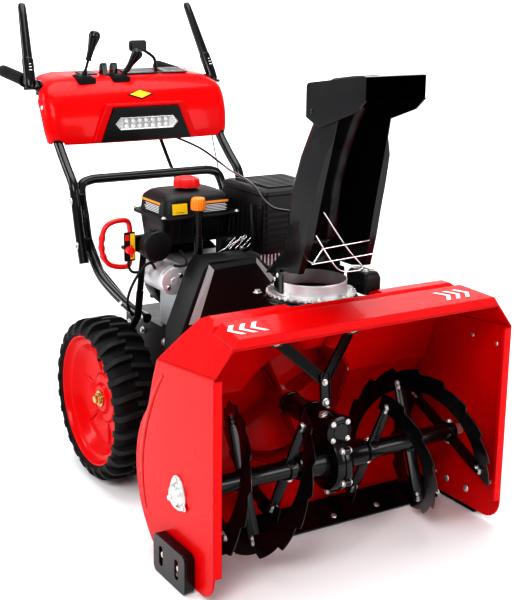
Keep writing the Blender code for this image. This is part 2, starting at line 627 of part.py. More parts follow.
# ---------------------------------------------------------------- engine
def engine():
    crankcase = block((-0.150, 0.5160, 0.3855), (0.060, 0.690, 0.565), 0.010, 1)
    cylinder_block = block((0.040, 0.530, 0.430), (0.165, 0.640, 0.570), 0.006, 1)
    boss = cylinder("Y", (ENGINE_X, ENGINE_Z), 0.0200, 0.5117, 0.530, 24)
    spout = cylinder("Z", (-0.120, 0.530), 0.0160, 0.550, 0.5795, 20)
    part("engine_block", crankcase, ((0.35, 0.35, 0.35), 0.5, 0.6), joins=[cylinder_block, boss, spout])

    shroud = turned("Y", (ENGINE_X, ENGINE_Z), [(0, 0.6905), (0.098, 0.6905), (0.100, 0.700), (0.096, 0.755),
                                                (0.080, 0.775), (0.045, 0.780), (0, 0.780)], 24, ring=False)
    exit_block = block((-0.188, 0.700, 0.560), (-0.100, 0.740, 0.600), 0.004)
    rope_hole = cylinder("X", (0.720, 0.580), 0.0045, -0.30, -0.130, 12)
    part("recoil_housing", shroud, BLACK_PLASTIC, joins=[exit_block], cuts=[rope_hole])

    grip_path = [(-0.217, 0.720, 0.645), (-0.250, 0.720, 0.644), (-0.272, 0.720, 0.630), (-0.281, 0.720, 0.595),
                 (-0.276, 0.720, 0.560), (-0.256, 0.720, 0.538), (-0.217, 0.720, 0.531), (-0.207, 0.720, 0.545),
                 (-0.205, 0.720, 0.588), (-0.207, 0.720, 0.630)]
    ring = bmesh.new()
    loop = smooth_path(grip_path + grip_path[:1], 2)[:-1]
    rows = []
    for i, point in enumerate(loop):
        ahead = (loop[(i + 1) % len(loop)] - loop[i - 1]).normalized()
        side = Vector((0, 1, 0))
        over = side.cross(ahead)
        rows.append([ring.verts.new(point + side * a + over * b) for a, b in circle(0.0065, 8)])
    for i, row in enumerate(rows):
        after = rows[(i + 1) % len(rows)]
        for j in range(8):
            k = (j + 1) % 8
            ring.faces.new((row[j], row[k], after[k], after[j]))
    rope = cylinder("X", (0.720, 0.580), 0.0025, -0.204, -0.136, 10)
    part("recoil_handle", closed(ring), RED_PAINT, joins=[rope], pivot=(-0.205, 0.720, 0.580))

    starter = turned("Y", (-0.191, 0.536), [(0, 0.515), (0.031, 0.515), (0.033, 0.518), (0.033, 0.640),
                                            (0.022, 0.644), (0, 0.644)], 20, ring=False)
    mount = block((-0.175, 0.580, 0.490), (-0.1505, 0.630, 0.530))
    part("starter_motor", starter, BARE_STEEL, joins=[mount])

    body = block((-0.296, 0.566, 0.580), (-0.262, 0.604, 0.656), 0.004)
    arm = block((-0.270, 0.572, 0.600), (-0.198, 0.592, 0.640), 0.0)
    cap = turned("Y", (-0.226, 0.620), [(0, 0.522), (0.032, 0.522), (0.036, 0.527), (0.036, 0.553), (0.020, 0.560),
                                        (0.020, 0.575), (0, 0.575)], 20, ring=False)
    key_hole = cylinder("Y", (-0.284, 0.612), 0.0046, 0.55, 0.590, 12)
    part("switch_box", body, BLACK_PLASTIC, joins=[arm, cap], cuts=[key_hole])
    key = turned("Y", (-0.284, 0.612), [(0, 0.5450), (0.009, 0.5450), (0.009, 0.5610), (0.0040, 0.5620),
                                        (0.0040, 0.5850), (0, 0.5850)], 12, ring=False)
    part("ignition_key", key, (RED, 0.4, 0.0), pivot=(-0.284, 0.565, 0.612))


def fuel_tank():
    sizes = ((-0.186, 0.565, -0.012, 0.708, 0.610, 0.020), (-0.190, 0.560, -0.008, 0.712, 0.668, 0.022),
             (-0.202, 0.548, 0.006, 0.724, 0.669, 0.026), (-0.202, 0.548, 0.006, 0.724, 0.676, 0.026),
             (-0.190, 0.560, -0.008, 0.712, 0.677, 0.022), (-0.182, 0.566, -0.016, 0.706, 0.706, 0.022),
             (-0.165, 0.580, -0.030, 0.694, 0.727, 0.022))
    rings = []
    for x0, y0, x1, y1, z, radius in sizes:
        rings.append([Vector((x, y, z)) for x, y in rounded_rectangle(x0, y0, x1, y1, radius, 3)])
    neck_tube = cylinder("Z", (-0.100, 0.625), 0.0200, 0.720, 0.7450, 24)
    part("fuel_tank", loft(rings), BLACK_PLASTIC, joins=[neck_tube])
    cap = turned("Z", (-0.100, 0.625), [(0, 0.7455), (0.0205, 0.7455), (0.0205, 0.7335), (0.031, 0.7335),
                                        (0.031, 0.7490), (0.028, 0.7550), (0, 0.7570)], 20, ring=False)
    part("fuel_cap", cap, (RED, 0.4, 0.0), pivot=(-0.100, 0.625, 0.7455))

    pipe = cylinder("Z", (-0.120, 0.530), 0.0100, 0.5800, 0.7020, 20)
    part("oil_tube", pipe, BLACK_PLASTIC)
    oil_cap = turned("Z", (-0.120, 0.530), [(0, 0.7024), (0.0104, 0.7024), (0.0104, 0.6950), (0.0165, 0.6950),
                                            (0.0170, 0.7180), (0.0140, 0.7240), (0, 0.7240)], 24, ring=False)
    part("oil_cap", oil_cap, ((0.8, 0.35, 0.01), 0.4, 0.0), pivot=(-0.120, 0.530, 0.7024))

    box = block((0.014, 0.462, 0.585), (0.200, 0.668, 0.742), 0.012, 2)
    part("muffler_box", box, BLACK_PAINT)


# ---------------------------------------------------------------- handles and console
def handle_path(side):
    """Bent bar from behind the console to the rubber grip."""
    return [(side * x, y, z) for x, y, z in (
        (0.245, 0.915, 0.500), (0.245, 0.940, 0.576), (0.245, 0.960, 0.655), (0.245, 0.975, 0.697),
        (0.243, 1.022, 0.738), (0.241, 1.078, 0.792), (0.241, 1.110, 0.850), (0.243, 1.150, 0.905),
        (0.245, 1.205, 0.9284), (0.245, 1.290, 0.9348), (0.245, 1.462, 0.9478))]


def handles():
    half = [(0.172, 0.700, 0.3980), (0.178, 0.735, 0.4020), (0.190, 0.790, 0.4180), (0.206, 0.885, 0.4600),
            (0.211, 0.935, 0.5060), (0.213, 0.963, 0.5460), (0.213, 0.981, 0.610), (0.210, 1.006, 0.6620),
            (0.200, 1.018, 0.6880), (0.169, 1.021, 0.697)]
    route = smooth_path([(-x, y, z) for x, y, z in half], 1) + smooth_path(half[::-1], 1)
    braces = [tube([(side * 0.203, 0.905, 0.475), (side * 0.160, 0.845, 0.400)], 0.008, 8) for side in (-1, 1)]
    part("lower_handle", tube(route, TUBE_RADIUS, 12), BLACK_PAINT, joins=braces)
    for side, name in ((-1, "right"), (1, "left")):
        bar = smooth_path(handle_path(side), 2)
        pin = cylinder("X", LEVER_PIVOT[1:], 0.0040, side * 0.2500, side * 0.2950, 12)
        low, high = sorted((side * 0.2500, side * 0.2555))
        bracket = block((low, 1.150, 0.905), (high, 1.190, 0.945))
        part("upper_handle_" + name, tube(bar, TUBE_RADIUS, 12), BLACK_PAINT, joins=[bracket, pin])
        start = Vector(handle_path(side)[-2])
        end = Vector(handle_path(side)[-1])
        way = (end - start).normalized()
        sleeve = tube([start, end + way * 0.008], GRIP_RADIUS, 16)
        bore = tube([start - way * 0.02, end + way * 0.0006], TUBE_RADIUS + 0.0005, 16)
        part("grip_" + name, sleeve, BLACK_RUBBER, cuts=[bore])


CONSOLE_LEVELS = ((0.2620, 1.0480, 0.785, 1.100, 0.788), (0.2680, 1.0500, 0.815, 1.105, 0.818),
                  (0.2700, 1.0600, 0.865, 1.125, 0.870), (0.2680, 1.0800, 0.908, 1.160, 0.914),
                  (0.2570, 1.0980, 0.928, 1.205, 0.937), (0.2300, 1.1200, 0.944, 1.226, 0.954),
                  (0.1920, 1.1400, 0.952, 1.225, 0.962))


def console_ring(half_width, y_front, z_front, y_rear, z_rear, shrink=0.0):
    """Outline of the console at one level, bowed forward in the middle."""
    wide = half_width - shrink
    radius = 0.022
    side_points = [(wide, y_rear)]
    for i in range(4):
        angle = math.radians(90 * i / 3)
        side_points.append((wide - radius + radius * math.cos(angle), y_front + 0.012 + radius - radius * math.sin(angle)))
    side_points += [(wide * 0.55, y_front + 0.004), (wide * 0.25, y_front)]
    outline = side_points + [(-x, y) for x, y in reversed(side_points)]
    slope = (z_rear - z_front) / (y_rear - y_front)
    return [Vector((x, y + shrink * (y < y_rear), z_front + slope * (y - y_front))) for x, y in outline]


def console():
    shell = loft([console_ring(*level) for level in CONSOLE_LEVELS])
    inner = []
    first = CONSOLE_LEVELS[0]
    inner.append(console_ring(first[0], first[1], first[2] - 0.03, 1.30, first[4] - 0.03, SHEET))
    for width, y_front, z_front, y_rear, z_rear in CONSOLE_LEVELS:
        slope = (z_rear - z_front) / (y_rear - y_front)
        inner.append(console_ring(width, y_front, z_front - SHEET, 1.30,
                                  z_front - SHEET + slope * (1.30 - y_front), SHEET))
    cuts = [loft(inner)]
    cuts += [tube(smooth_path(handle_path(side), 2), TUBE_RADIUS + 0.002, 12) for side in (-1, 1)]
    cuts += [block((min(side * 0.2495, side * 0.30), 1.1350, 0.880), (max(side * 0.2495, side * 0.30), 1.30, 1.00))
             for side in (-1, 1)]
    for x, y, _ in (CHUTE_LEVER_PIVOT, DEFLECTOR_LEVER_PIVOT, SHIFT_LEVER_PIVOT):
        cuts.append(block((x - 0.009, y - 0.028, 0.930), (x + 0.031, y + 0.028, 1.00)))
    for x in (-0.066, -0.036):
        cuts.append(block((x - 0.0085, 1.150, 0.930), (x + 0.0085, 1.195, 1.00)))
    cuts.append(prism("Y", [(-0.122, 0.797), (0.122, 0.797), (0.088, 0.868), (-0.088, 0.868)], 1.00, 1.10))
    part("console_shell", shell, RED_PAINT, cuts=cuts)

    plate = prism("X", [(1.147, 0.9545), (1.218, 0.9622), (1.218, 0.9647), (1.147, 0.9570)], -0.005, 0.180)
    slot = block((SHIFT_LEVER_PIVOT[0] - 0.010, 1.155, 0.94), (SHIFT_LEVER_PIVOT[0] + 0.010, 1.215, 0.98))
    part("control_panel", plate, BLACK_PLASTIC, cuts=[slot])

    frame = prism("Y", [(-0.132, 0.789), (0.132, 0.789), (0.095, 0.876), (-0.095, 0.876)], 1.0405, 1.0470)
    stem = prism("Y", [(-0.118, 0.800), (0.118, 0.800), (0.086, 0.865), (-0.086, 0.865)], 1.0470, 1.0850)
    window = prism("Y", [(-0.078, 0.820), (-0.070, 0.810), (0.070, 0.810), (0.078, 0.820), (0.078, 0.843),
                         (0.070, 0.853), (-0.070, 0.853), (-0.078, 0.843)], 1.02, 1.0700)
    part("lamp_housing", frame, BLACK_PLASTIC, joins=[stem], cuts=[window])
    lens = prism("Y", [(-0.0775, 0.8205), (-0.0695, 0.8105), (0.0695, 0.8105), (0.0775, 0.8205), (0.0775, 0.8425),
                       (0.0695, 0.8525), (-0.0695, 0.8525), (-0.0775, 0.8425)], 1.0420, 1.0450)
    part("lamp_lens", lens, ((0.8, 0.8, 0.8), 0.05, 0.0))


def levers():
    for side, name in ((-1, "drive_lever_right"), (1, "auger_lever_left")):
        pivot = Vector(mirrored(LEVER_PIVOT, side))
        tip = Vector(mirrored(LEVER_TIP, side))
        path = [pivot + (tip - pivot) * t for t in (0.0, 0.06, 0.30, 0.34, 0.80, 0.97, 1.0)]
        widths = (0.011, 0.0145, 0.0145, 0.0130, 0.0115, 0.0105, 0.0070)

        def section(t, widths=widths):
            return circle(widths[round(t * (len(widths) - 1))], 12)

        hole = cylinder("X", (pivot.y, pivot.z), 0.0045, side * 0.24, side * 0.32, 12)
        part(name, swept(path, section, up=(1, 0, 0)), BLACK_PLASTIC, cuts=[hole], pivot=tuple(pivot))

    def lever(name, pivot, knob, knob_radius, knob_length, look):
        pivot, knob = Vector(pivot), Vector(knob)
        boss = cylinder("X", (pivot.y, pivot.z), 0.0070, pivot.x - 0.006, pivot.x + 0.006, 14)
        way = (knob - pivot).normalized()
        rod = tube([pivot, knob - way * knob_length * 0.8], 0.0035, 10)
        handle_route = [knob - way * knob_length * (1 - t) for t in (0, 0.4, 0.8, 1.0)]
        widths = (0.45, 0.65, 1.0, 0.75)

        def section(t):
            return circle(knob_radius * widths[round(t * 3)], 12)

        part(name, boss, look, joins=[rod, swept(handle_route, section, up=(1, 0, 0))], pivot=tuple(pivot))

    lever("deflector_lever", DEFLECTOR_LEVER_PIVOT, (-0.106, 1.125, 1.072), 0.0135, 0.075, BLACK_PLASTIC)
    lever("chute_lever", CHUTE_LEVER_PIVOT, (0.018, 1.120, 1.020), 0.0135, 0.060, BLACK_PLASTIC)
    pivot = Vector(SHIFT_LEVER_PIVOT)
    boss = cylinder("X", (pivot.y, pivot.z), 0.0070, pivot.x - 0.006, pivot.x + 0.006, 14)
    rod = tube([pivot, (0.099, 1.185, 0.985), (0.050, 1.178, 1.020)], 0.0040, 10)
    paddle = block((0.018, 1.170, 1.012), (0.064, 1.186, 1.044), 0.005, 2)
    part("shift_lever", boss, BLACK_PLASTIC, joins=[rod, paddle], pivot=tuple(pivot))
    for x, name in ((-0.066, "trigger_right"), (-0.036, "trigger_left")):
        wedge = prism("X", [(1.158, 0.935), (1.182, 0.935), (1.184, 0.972), (1.176, 0.984), (1.164, 0.982)],
                      x - 0.0075, x + 0.0075)
        part(name, wedge, BLACK_PLASTIC, pivot=(x, 1.170, 0.945))


def deflector_cable():
    route = [(0.095, 1.100, 0.790), (0.120, 0.970, 0.768), (0.102, 0.820, 0.748), (0.060, 0.700, 0.750),
             (0.025, 0.600, 0.756), (0.002, 0.500, 0.752), (-0.010, 0.450, 0.744), (-0.020, 0.400, 0.728),
             (-0.030, 0.340, 0.722), (-0.038, 0.275, 0.729), (-0.040, 0.2445, 0.733)]
    part("deflector_cable", tube(smooth_path(route, 3), 0.0030, 8), BLACK_PLASTIC)


auger_housing()
impeller_drum()
augers()
gearbox()
impeller()
chute_mount()
chute()
deflector()
guard_wires()
wheels()
chassis()
belt_drive()
engine()
fuel_tank()
handles()
console()
levers()
deflector_cable()
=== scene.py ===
"""Looks for the two stage snow blower: materials, detailed pieces, light and camera.

Lengths are metres in the machine's own numbers: x = 0 is its middle, y = 0 the mouth of
the auger housing, z = 0 the ground. SHIFT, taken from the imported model, moves them into
the shared frame. Right and left are the operator's.

Three kinds of number table repeat below:
- a turned profile lists (radius, distance along the axis), going round the section;
- an outline lists the two coordinates across the axis that its prism runs along;
- a route lists (x, y, z) points that a smooth curve passes through.
"""
import math

import bmesh
import bpy
from mathutils import Matrix, Vector


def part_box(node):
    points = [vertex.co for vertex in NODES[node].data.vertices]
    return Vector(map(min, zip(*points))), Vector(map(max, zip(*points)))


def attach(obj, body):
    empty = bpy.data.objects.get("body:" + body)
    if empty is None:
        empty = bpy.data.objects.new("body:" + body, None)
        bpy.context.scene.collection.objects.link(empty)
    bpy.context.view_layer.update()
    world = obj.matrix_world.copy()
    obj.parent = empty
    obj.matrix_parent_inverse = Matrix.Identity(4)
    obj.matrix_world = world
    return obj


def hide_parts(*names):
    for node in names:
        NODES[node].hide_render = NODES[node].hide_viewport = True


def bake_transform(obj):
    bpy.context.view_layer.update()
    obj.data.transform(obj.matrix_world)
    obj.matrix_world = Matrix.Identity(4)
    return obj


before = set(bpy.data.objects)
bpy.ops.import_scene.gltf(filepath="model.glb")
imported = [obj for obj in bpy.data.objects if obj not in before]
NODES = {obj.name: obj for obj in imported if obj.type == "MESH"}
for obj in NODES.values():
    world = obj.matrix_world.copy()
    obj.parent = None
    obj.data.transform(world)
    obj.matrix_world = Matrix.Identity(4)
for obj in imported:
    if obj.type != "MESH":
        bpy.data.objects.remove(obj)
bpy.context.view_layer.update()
SHIFT = Vector((0.0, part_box("side_panel_left")[0].y, 0.0))


# ---------------------------------------------------------------- materials
def surface(name, colour, rough, metal=0.0, coat=0.0, grain=(900.0, 0.05), patches=(9.0, 0.12), wear=None,
        bevel=0.0008, emit=None, alpha=1.0, anisotropic=False, shine=0.5):
    """Principled material with a bumpy grain, slow patches of tone and rubbed edges.

    grain is (noise scale per metre, bump strength); patches is (scale, how far the tone
    and roughness drift); wear is (colour, share of the edge that is rubbed).
    """
    material = bpy.data.materials.new(name)
    material.use_nodes = True
    nodes, links = material.node_tree.nodes, material.node_tree.links
    shader = nodes["Principled BSDF"]
    shader.inputs["Metallic"].default_value = metal
    shader.inputs["Coat Weight"].default_value = coat
    shader.inputs["Coat Roughness"].default_value = 0.04
    shader.inputs["Specular IOR Level"].default_value = shine
    if alpha < 1.0:
        shader.inputs["Alpha"].default_value = alpha
    where = nodes.new("ShaderNodeTexCoord").outputs["Object"]
    if anisotropic:
        stretch = nodes.new("ShaderNodeMapping")
        stretch.inputs["Scale"].default_value = (1.0, 0.06, 1.0)
        links.new(where, stretch.inputs["Vector"])
        grain_where = stretch.outputs["Vector"]
    else:
        grain_where = where

    fine = nodes.new("ShaderNodeTexNoise")
    fine.inputs["Scale"].default_value = grain[0]
    fine.inputs["Detail"].default_value = 3.0
    links.new(grain_where, fine.inputs["Vector"])
    round_edge = nodes.new("ShaderNodeBevel")
    round_edge.samples = 4
    round_edge.inputs["Radius"].default_value = bevel
    bump = nodes.new("ShaderNodeBump")
    bump.inputs["Strength"].default_value = grain[1]
    bump.inputs["Distance"].default_value = 0.001
    links.new(fine.outputs["Fac"], bump.inputs["Height"])
    if bevel:
        links.new(round_edge.outputs["Normal"], bump.inputs["Normal"])
    links.new(bump.outputs["Normal"], shader.inputs["Normal"])

    slow = nodes.new("ShaderNodeTexNoise")
    slow.inputs["Scale"].default_value = patches[0]
    slow.inputs["Detail"].default_value = 4.0
    links.new(where, slow.inputs["Vector"])
    drift = nodes.new("ShaderNodeMapRange")
    drift.inputs["From Min"].default_value = 0.3
    drift.inputs["From Max"].default_value = 0.7
    drift.inputs["To Min"].default_value = max(0.0, rough - patches[1] * 0.5)
    drift.inputs["To Max"].default_value = min(1.0, rough + patches[1] * 0.5)
    links.new(slow.outputs["Fac"], drift.inputs["Value"])
    links.new(drift.outputs["Result"], shader.inputs["Roughness"])

    tone = nodes.new("ShaderNodeMix")
    tone.data_type = "RGBA"
    tone.inputs["A"].default_value = (*[c * (1 - patches[1]) for c in colour], 1.0)
    tone.inputs["B"].default_value = (*[min(1.0, c * (1 + patches[1])) for c in colour], 1.0)
    links.new(slow.outputs["Fac"], tone.inputs["Factor"])
    result = tone.outputs["Result"]
    if wear:
        edge = nodes.new("ShaderNodeMapRange")
        edge.inputs["From Min"].default_value = 0.52
        edge.inputs["From Max"].default_value = 0.6
        links.new(nodes.new("ShaderNodeNewGeometry").outputs["Pointiness"], edge.inputs["Value"])
        share = nodes.new("ShaderNodeMath")
        share.operation = "MULTIPLY"
        share.inputs[1].default_value = wear[1]
        links.new(edge.outputs["Result"], share.inputs[0])
        rub = nodes.new("ShaderNodeMix")
        rub.data_type = "RGBA"
        links.new(share.outputs["Value"], rub.inputs["Factor"])
        links.new(result, rub.inputs["A"])
        rub.inputs["B"].default_value = (*wear[0], 1.0)
        result = rub.outputs["Result"]
    links.new(result, shader.inputs["Base Color"])
    if emit:
        shader.inputs["Emission Color"].default_value = (*emit[0], 1.0)
        shader.inputs["Emission Strength"].default_value = emit[1]
    return material


RED = surface("red_enamel", (0.6, 0.0006, 0.0024), 0.28, coat=0.14, shine=0.12, grain=(260, 0.012),
    patches=(6, 0.05), bevel=0.006)
BLACK = surface("black_enamel", (0.0035, 0.0035, 0.004), 0.24, coat=0.25, shine=0.35, grain=(300, 0.02),
    patches=(14, 0.1), bevel=0.001)
SATIN = surface("black_powder_coat", (0.006, 0.006, 0.0065), 0.36, shine=0.3, grain=(1400, 0.1),
    patches=(20, 0.1))
PLASTIC = surface("black_moulding", (0.009, 0.009, 0.0095), 0.42, shine=0.3, grain=(1800, 0.14),
    patches=(12, 0.1))
GLOSSY = surface("black_gloss_moulding", (0.004, 0.004, 0.0045), 0.22, coat=0.15, shine=0.35,
    grain=(500, 0.02), patches=(12, 0.08))
ZINC = surface("zinc_plate", (0.7, 0.7, 0.68), 0.32, metal=0.75, grain=(700, 0.06), patches=(35, 0.16),
    wear=((0.85, 0.85, 0.84), 0.5))
ALLOY = surface("satin_alloy", (0.66, 0.66, 0.67), 0.36, metal=0.45, grain=(1600, 0.16), patches=(30, 0.12),
    anisotropic=True)
CAST = surface("cast_aluminium", (0.46, 0.47, 0.48), 0.5, metal=0.85, grain=(850, 0.3), patches=(40, 0.16),
    wear=((0.75, 0.75, 0.75), 0.6))
TYRE = surface("tyre_rubber", (0.008, 0.008, 0.0085), 0.6, shine=0.25, grain=(700, 0.2), patches=(16, 0.16),
    wear=((0.05, 0.05, 0.05), 0.7))
GRIP = surface("grip_rubber", (0.008, 0.008, 0.0085), 0.62, shine=0.25, grain=(1500, 0.22),
    patches=(18, 0.12))
RED_PLASTIC = surface("red_moulding", (0.72, 0.01, 0.01), 0.3, grain=(900, 0.05), patches=(14, 0.06))
AMBER = surface("amber_moulding", (0.85, 0.27, 0.02), 0.3, grain=(900, 0.04), patches=(20, 0.1))

YELLOW_ZINC = surface("yellow_zinc", (0.62, 0.44, 0.16), 0.3, metal=1.0, grain=(700, 0.06), patches=(60, 0.2))
CHROME = surface("bright_steel", (0.74, 0.74, 0.75), 0.16, metal=1.0, grain=(500, 0.03), patches=(25, 0.1))
LABEL_WHITE = surface("label_white", (0.86, 0.86, 0.85), 0.4, grain=(900, 0.02), patches=(30, 0.04), bevel=0)
LABEL_YELLOW = surface("label_yellow", (0.9, 0.62, 0.02), 0.4, grain=(900, 0.02), patches=(30, 0.05), bevel=0)
LABEL_ORANGE = surface("label_orange", (0.85, 0.3, 0.02), 0.4, grain=(900, 0.02), patches=(30, 0.05), bevel=0)

# grey for the lamp tray, and also for painted highlight strips laid on the belt cover's chamfers
GREY_TRAY_AND_PAINTED_SHEEN = surface("grey_tray_and_painted_sheen", (0.3, 0.3, 0.3), 0.45, grain=(1500, 0.1), patches=(12, 0.08), bevel=0)
LED = surface("led_lens", (0.95, 0.93, 0.85), 0.2, grain=(900, 0.01), patches=(30, 0.02), bevel=0,
    emit=((1.0, 0.96, 0.86), 0.35))
GLASS = surface("lamp_glass", (0.98, 0.98, 0.98), 0.03, grain=(60, 0.004), patches=(10, 0.01), bevel=0,
    alpha=0.22)

# the material that each CAD node takes where it keeps its own mesh
LOOKS = {
    RED: ("housing_shell", "mouth_band", "side_panel_left", "side_panel_right", "impeller_drum", "impeller_fan",
          "rim_left", "rim_right", "console_shell"),
    BLACK: ("auger_left", "auger_right", "auger_gearbox", "gearbox_bracket", "skid_shoe_left", "skid_shoe_right",
            "scraper_bar", "chute_flange", "chute_body", "deflector"),
    SATIN: ("chassis", "lower_handle", "upper_handle_left", "upper_handle_right", "muffler_box"),
    ZINC: ("auger_bearing_left", "auger_bearing_right", "auger_shaft", "impeller_shaft", "axle_shaft",
           "chute_ring", "guard_wire", "engine_pulley"),
    ALLOY: ("starter_motor",),
    CAST: ("engine_block",),
    PLASTIC: ("belt_cover", "chute_drive_box", "recoil_housing", "switch_box", "oil_tube", "control_panel",
              "fuel_tank", "trigger_left", "trigger_right", "lamp_housing", "chute_lever", "deflector_lever",
              "shift_lever", "auger_lever_left", "drive_lever_right", "deflector_cable", "lamp_lens"),
    RED_PLASTIC: ("recoil_handle", "ignition_key", "fuel_cap"),
    AMBER: ("oil_cap",),
    TYRE: ("tyre_left", "tyre_right", "drive_belt"),
    GRIP: ("grip_left", "grip_right"),
}
for material, names in LOOKS.items():
    for name in names:
        mesh = NODES[name].data
        mesh.materials.clear()
        mesh.materials.append(material)


# ---------------------------------------------------------------- shapes
def plane_point(axis, u, v, along):
    """Point with in-plane coordinates u, v and depth along the named axis."""
    if axis == "X":
        return Vector((along, u, v))
    if axis == "Y":
        return Vector((u, along, v))
    return Vector((u, v, along))


def loft(rings, wrap=False):
    """Skin through rings of equal length; wrap joins the last ring to the first."""
    mesh = bmesh.new()
    loops = [[mesh.verts.new(point) for point in ring] for ring in rings]
    pairs = list(zip(loops, loops[1:])) + ([(loops[-1], loops[0])] if wrap else [])
    for near, far in pairs:
        for i in range(len(near)):
            j = (i + 1) % len(near)
            mesh.faces.new((near[i], near[j], far[j], far[i]))
    if not wrap:
        mesh.faces.new(list(reversed(loops[0])))
        mesh.faces.new(loops[-1])
    return mesh


def prism(axis, outline, low, high):
    """Outline carried straight along the named axis, from low to high."""
    return loft([[plane_point(axis, u, v, along) for u, v in outline] for along in (low, high)])


def block(low, high):
    """Box between two corners."""
    outline = [(low[0], low[1]), (high[0], low[1]), (high[0], high[1]), (low[0], high[1])]
    return prism("Z", outline, low[2], high[2])


def turned(axis, centre, profile, steps=48, ring=False):
    """Profile of (radius, along) points turned about an axis through centre (u, v)."""
    mesh = bmesh.new()
    rows = []
    for radius, along in profile:
        count = 1 if radius == 0 else steps
        row = []
        for i in range(count):
            angle = 2 * math.pi * i / steps
            row.append(mesh.verts.new(plane_point(axis, centre[0] + radius * math.cos(angle),
                centre[1] + radius * math.sin(angle), along)))
        rows.append(row)
    pairs = list(zip(rows, rows[1:]))
    if ring:
        pairs.append((rows[-1], rows[0]))
    for near, far in pairs:
        for i in range(steps):
            j = (i + 1) % steps
            four = [near[i % len(near)], near[j % len(near)], far[j % len(far)], far[i % len(far)]]
            corners = list(dict.fromkeys(four))  # a radius of zero leaves three of them, or two
            if len(corners) > 2:
                mesh.faces.new(corners)
    return mesh


def cylinder(axis, centre, radius, low, high, steps=48):
    """Plain cylinder along the named axis."""
    return turned(axis, centre, [(0, low), (radius, low), (radius, high), (0, high)], steps)


def rect(a, b):
    """Rectangular section of half widths a and b."""
    return [(-a, -b), (a, -b), (a, b), (-a, b)]


def taper(low_half, low, high_half, high):
    """Symmetrical outline, low_half wide each way at its foot and high_half at its top."""
    return [(-low_half, low), (low_half, low), (high_half, high), (-high_half, high)]


def angles(count, first=0.0):
    """Evenly spaced angles in radians; first is in degrees."""
    return [math.radians(first) + 2 * math.pi * i / count for i in range(count)]


def smooth_path(points, per_span=6, loop=False):
    """Catmull-Rom curve through the points."""
    points = [Vector(point) for point in points]
    if loop:
        padded = [points[-1]] + points + points[:2]
    else:
        padded = [points[0]] + points + [points[-1]]
    route = []
    for a, b, c, d in zip(padded, padded[1:], padded[2:], padded[3:]):
        for i in range(per_span):
            t = i / per_span
            route.append(0.5 * (2 * b + (c - a) * t + (2 * a - 5 * b + 4 * c - d) * t ** 2
                + (3 * b - a - 3 * c + d) * t ** 3))
    return route if loop else route + [points[-1]]


def swept(path, section, up=(0, 0, 1), loop=False):
    """Section of (side, up) offsets carried along a path; section may be a function of t."""
    path = [Vector(point) for point in path]
    rings = []
    side = None
    last = len(path) - 1
    for i, point in enumerate(path):
        before = path[i - 1] if loop or i else path[0]
        after = path[(i + 1) % len(path)] if loop or i < last else path[last]
        ahead = (after - before).normalized()
        if side is None or loop:
            guide = Vector(up)
            if abs(ahead.dot(guide)) > 0.97:
                guide = Vector((0, 1, 0))
            side = ahead.cross(guide).normalized()
        side = (side - ahead * side.dot(ahead)).normalized()
        over = side.cross(ahead)
        outline = section(i / last) if callable(section) else section
        rings.append([point + side * a + over * b for a, b in outline])
    return loft(rings, wrap=loop)


def circle(radius, sides=20):
    """Round section for swept shapes."""
    return [(radius * math.cos(a), radius * math.sin(a)) for a in angles(sides)]


def tube(path, radius, sides=20):
    """Round rod along a path."""
    return swept(path, circle(radius, sides))


def rounded(x0, y0, x1, y1, radius, steps=6):
    """Corner-rounded rectangle, anticlockwise."""
    outline = []
    corners = ((x1 - radius, y1 - radius, 0), (x0 + radius, y1 - radius, 90), (x0 + radius, y0 + radius, 180),
        (x1 - radius, y0 + radius, 270))
    for x, y, start in corners:
        for i in range(steps + 1):
            angle = math.radians(start + 90 * i / steps)
            outline.append((x + radius * math.cos(angle), y + radius * math.sin(angle)))
    return outline


def stacked(x0, y0, x1, y1, radius, levels, steps=6):
    """Upright box with rounded edges; levels lists (how far it draws in, height)."""
    return loft([[Vector((x, y, z)) for x, y in rounded(x0 + i, y0 + i, x1 - i, y1 - i, radius, steps)]
        for i, z in levels])


def merged(*meshes):
    """One mesh from several; each stays a body of its own."""
    whole = bmesh.new()
    for mesh in meshes:
        data = bpy.data.meshes.new("part")
        bmesh.ops.recalc_face_normals(mesh, faces=mesh.faces)
        mesh.to_mesh(data)
        mesh.free()
        whole.from_mesh(data)
        bpy.data.meshes.remove(data)
    return whole


def placed(mesh, origin, direction, spin=0.0):
    """Mesh built along +Z at zero, moved to origin with its Z along direction."""
    turn = Vector(direction).to_track_quat("Z", "Y").to_matrix().to_4x4() @ Matrix.Rotation(spin, 4, "Z")
    mesh.transform(Matrix.Translation(Vector(origin)) @ turn)
    return mesh


def hex_bolt(origin, direction, across=0.013, spin=0.3):
    """Flanged hexagon head, standing on a surface at origin."""
    half = across / math.sqrt(3)
    head = loft([[Vector((r * math.cos(math.pi / 3 * i), r * math.sin(math.pi / 3 * i), z)) for i in range(6)]
        for r, z in ((half, 0.0), (half, across * 0.42), (half * 0.86, across * 0.52))])
    washer = turned("Z", (0, 0), [(0, -0.0002), (across * 0.78, -0.0002), (across * 0.76, across * 0.1),
        (across * 0.62, across * 0.16), (0, across * 0.16)], 24)
    return placed(merged(head, washer), origin, direction, spin)


def dome_bolt(origin, direction, radius=0.008, height=0.004):
    """Low domed bolt or rivet head."""
    profile = [(0, -0.0002), (radius, -0.0002)]
    profile += [(radius * math.cos(a), height * math.sin(a)) for a in (0.3, 0.6, 0.9, 1.2)] + [(0, height)]
    return placed(turned("Z", (0, 0), profile, 24), origin, direction)


def mesh_object(name, mesh, material=None):
    """Object from a mesh in machine coordinates; the mesh is used up."""
    bmesh.ops.recalc_face_normals(mesh, faces=mesh.faces)
    mesh.transform(Matrix.Translation(SHIFT))
    data = bpy.data.meshes.new(name)
    mesh.to_mesh(data)
    mesh.free()
    item = bpy.data.objects.new(name, data)
    bpy.context.collection.objects.link(item)
    if material:
        data.materials.append(material)
        data.shade_smooth()
    return item


